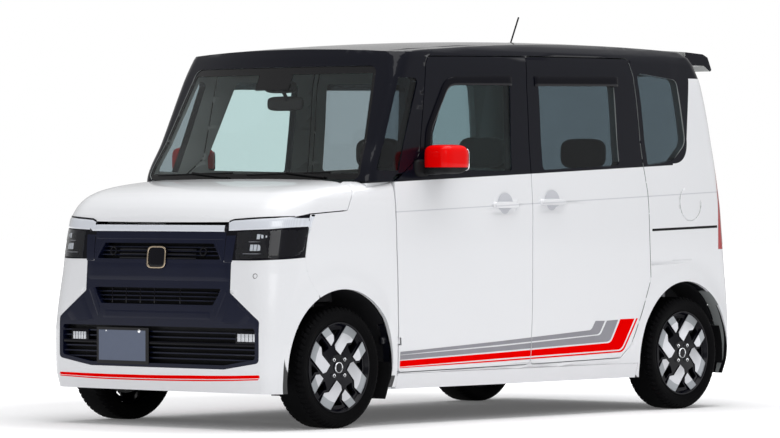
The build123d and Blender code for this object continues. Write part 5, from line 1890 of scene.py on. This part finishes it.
# ---- studio ----------------------------------------------------------------------------------------------
@dataclass
class Studio:
    """Pale floor, even world light, two panels and the camera."""

    camera_place: tuple = (16.5158, 14.4165, 1.051)
    yaw: float = -138.7225
    pitch: float = -0.3072
    roll: float = -0.0215
    lens: float = 210.96
    floor_half: float = 60.0
    shadow_reach: tuple = (2.0, 4.5)          # distances between which the floor's own light fades in
    floor_light: tuple = (0.10, 1.0)
    world_light: tuple = (0.50, 1.0)          # on the object, and as seen by the camera
    panels: tuple = (("overhead", (0.0, 1.0, 6.0), (7.0, 5.0), 310.0),
                     ("front_fill", (7.0, 6.5, 4.0), (4.0, 3.0), 110.0))

    def camera(self) -> None:
        """Sets the camera's place, direction and lens."""
        data = bpy.data.cameras.new("camera")
        data.lens = self.lens
        data.sensor_width = 36.0
        data.clip_end = 200.0
        camera = placed("camera", data)
        yaw, pitch = math.radians(self.yaw), math.radians(self.pitch)
        ahead = Vector((math.cos(yaw) * math.cos(pitch), math.sin(yaw) * math.cos(pitch), math.sin(pitch)))
        turn = ahead.to_track_quat("-Z", "Y").to_matrix() @ Matrix.Rotation(math.radians(self.roll), 3, "Z")
        camera.matrix_world = Matrix.Translation(self.camera_place) @ turn.to_4x4()
        bpy.context.scene.camera = camera

    def floor(self) -> None:
        """A wide pale floor that keeps a soft shadow."""
        half = self.floor_half
        mesh = bpy.data.meshes.new("floor")
        mesh.from_pydata([(-half, -half, 0), (half, -half, 0), (half, half, 0), (-half, half, 0)], [],
                         [(0, 1, 2, 3)])
        graph = Graph("studio_floor")
        path = graph.node("LightPath")
        seen = graph.math("MAXIMUM", path.outputs["Is Camera Ray"], path.outputs["Is Glossy Ray"])
        cloud = graph.noise(1.5, 2.0)
        diffuse = graph.node("BsdfDiffuse", {"Color": graph.varied((0.90, 0.90, 0.91), cloud, 0.01)})
        across, along, _ = graph.place
        away = graph.math("SQRT", graph.powers(across, along))
        ends = dict(enumerate((away, *self.shadow_reach, *self.floor_light)))
        fade = graph.node("MapRange", ends, clamp=True).outputs[0]
        lift = graph.node("Emission",
                          {"Color": (1.0, 1.0, 1.0, 1.0), "Strength": graph.math("MULTIPLY", seen, fade)})
        glowing = graph.node("AddShader", {0: diffuse.outputs[0], 1: lift.outputs[0]})
        mesh.materials.append(graph.shown(glowing))
        placed("floor", mesh)

    def world(self) -> None:
        """Soft even light, with a white background for what the camera sees."""
        world = bpy.data.worlds.new("studio")
        bpy.context.scene.world = world
        world.use_nodes = True
        tree = world.node_tree
        tree.nodes.clear()
        path = tree.nodes.new("ShaderNodeLightPath")
        clear = tree.nodes.new("ShaderNodeMath")
        clear.operation = "MAXIMUM"
        tree.links.new(path.outputs["Is Camera Ray"], clear.inputs[0])
        tree.links.new(path.outputs["Is Transmission Ray"], clear.inputs[1])
        strength = tree.nodes.new("ShaderNodeMapRange")
        strength.inputs["To Min"].default_value, strength.inputs["To Max"].default_value = self.world_light
        tree.links.new(clear.outputs[0], strength.inputs["Value"])
        background = tree.nodes.new("ShaderNodeBackground")
        background.inputs["Color"].default_value = (1.0, 1.0, 1.0, 1.0)
        tree.links.new(strength.outputs[0], background.inputs["Strength"])
        output = tree.nodes.new("ShaderNodeOutputWorld")
        tree.links.new(background.outputs[0], output.inputs[0])

    def lamps(self) -> None:
        """One wide panel overhead and a weaker one towards the front corner."""
        for name, place, size, power in self.panels:
            light = bpy.data.lights.new(name, "AREA")
            light.shape = "RECTANGLE"
            light.size, light.size_y = size
            light.energy = power
            lamp = placed(name, light)
            lamp.location = place
            lamp.rotation_euler = (Vector((0, 0, 0.6)) - Vector(place)).to_track_quat("-Z", "Y").to_euler()

    def build(self) -> None:
        """Builds the studio."""
        self.camera()
        self.floor()
        self.world()
        self.lamps()
        bpy.context.scene.view_settings.view_transform = "Standard"


def main() -> None:
    """Builds the car's finished pieces in order and the studio round it."""
    logging.basicConfig(level=logging.INFO, format="%(message)s")
    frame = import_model()
    finishes = Finishes()
    CarriedParts(frame, finishes).build()
    Shell(SkinMaker(frame, finishes)).build()
    trim = Trim(finishes)
    Nose(trim, NoseSkin()).build()
    Flanks(trim, SideSkin()).build()
    Mirrors(trim).build()
    ScreenFittings(trim, frame).build()
    Seats(finishes).build()
    for axle in ("front", "rear"):
        for side in Side:
            Wheel(axle, side, finishes).build()
    Studio().build()


if __name__ == "__main__":
    main()
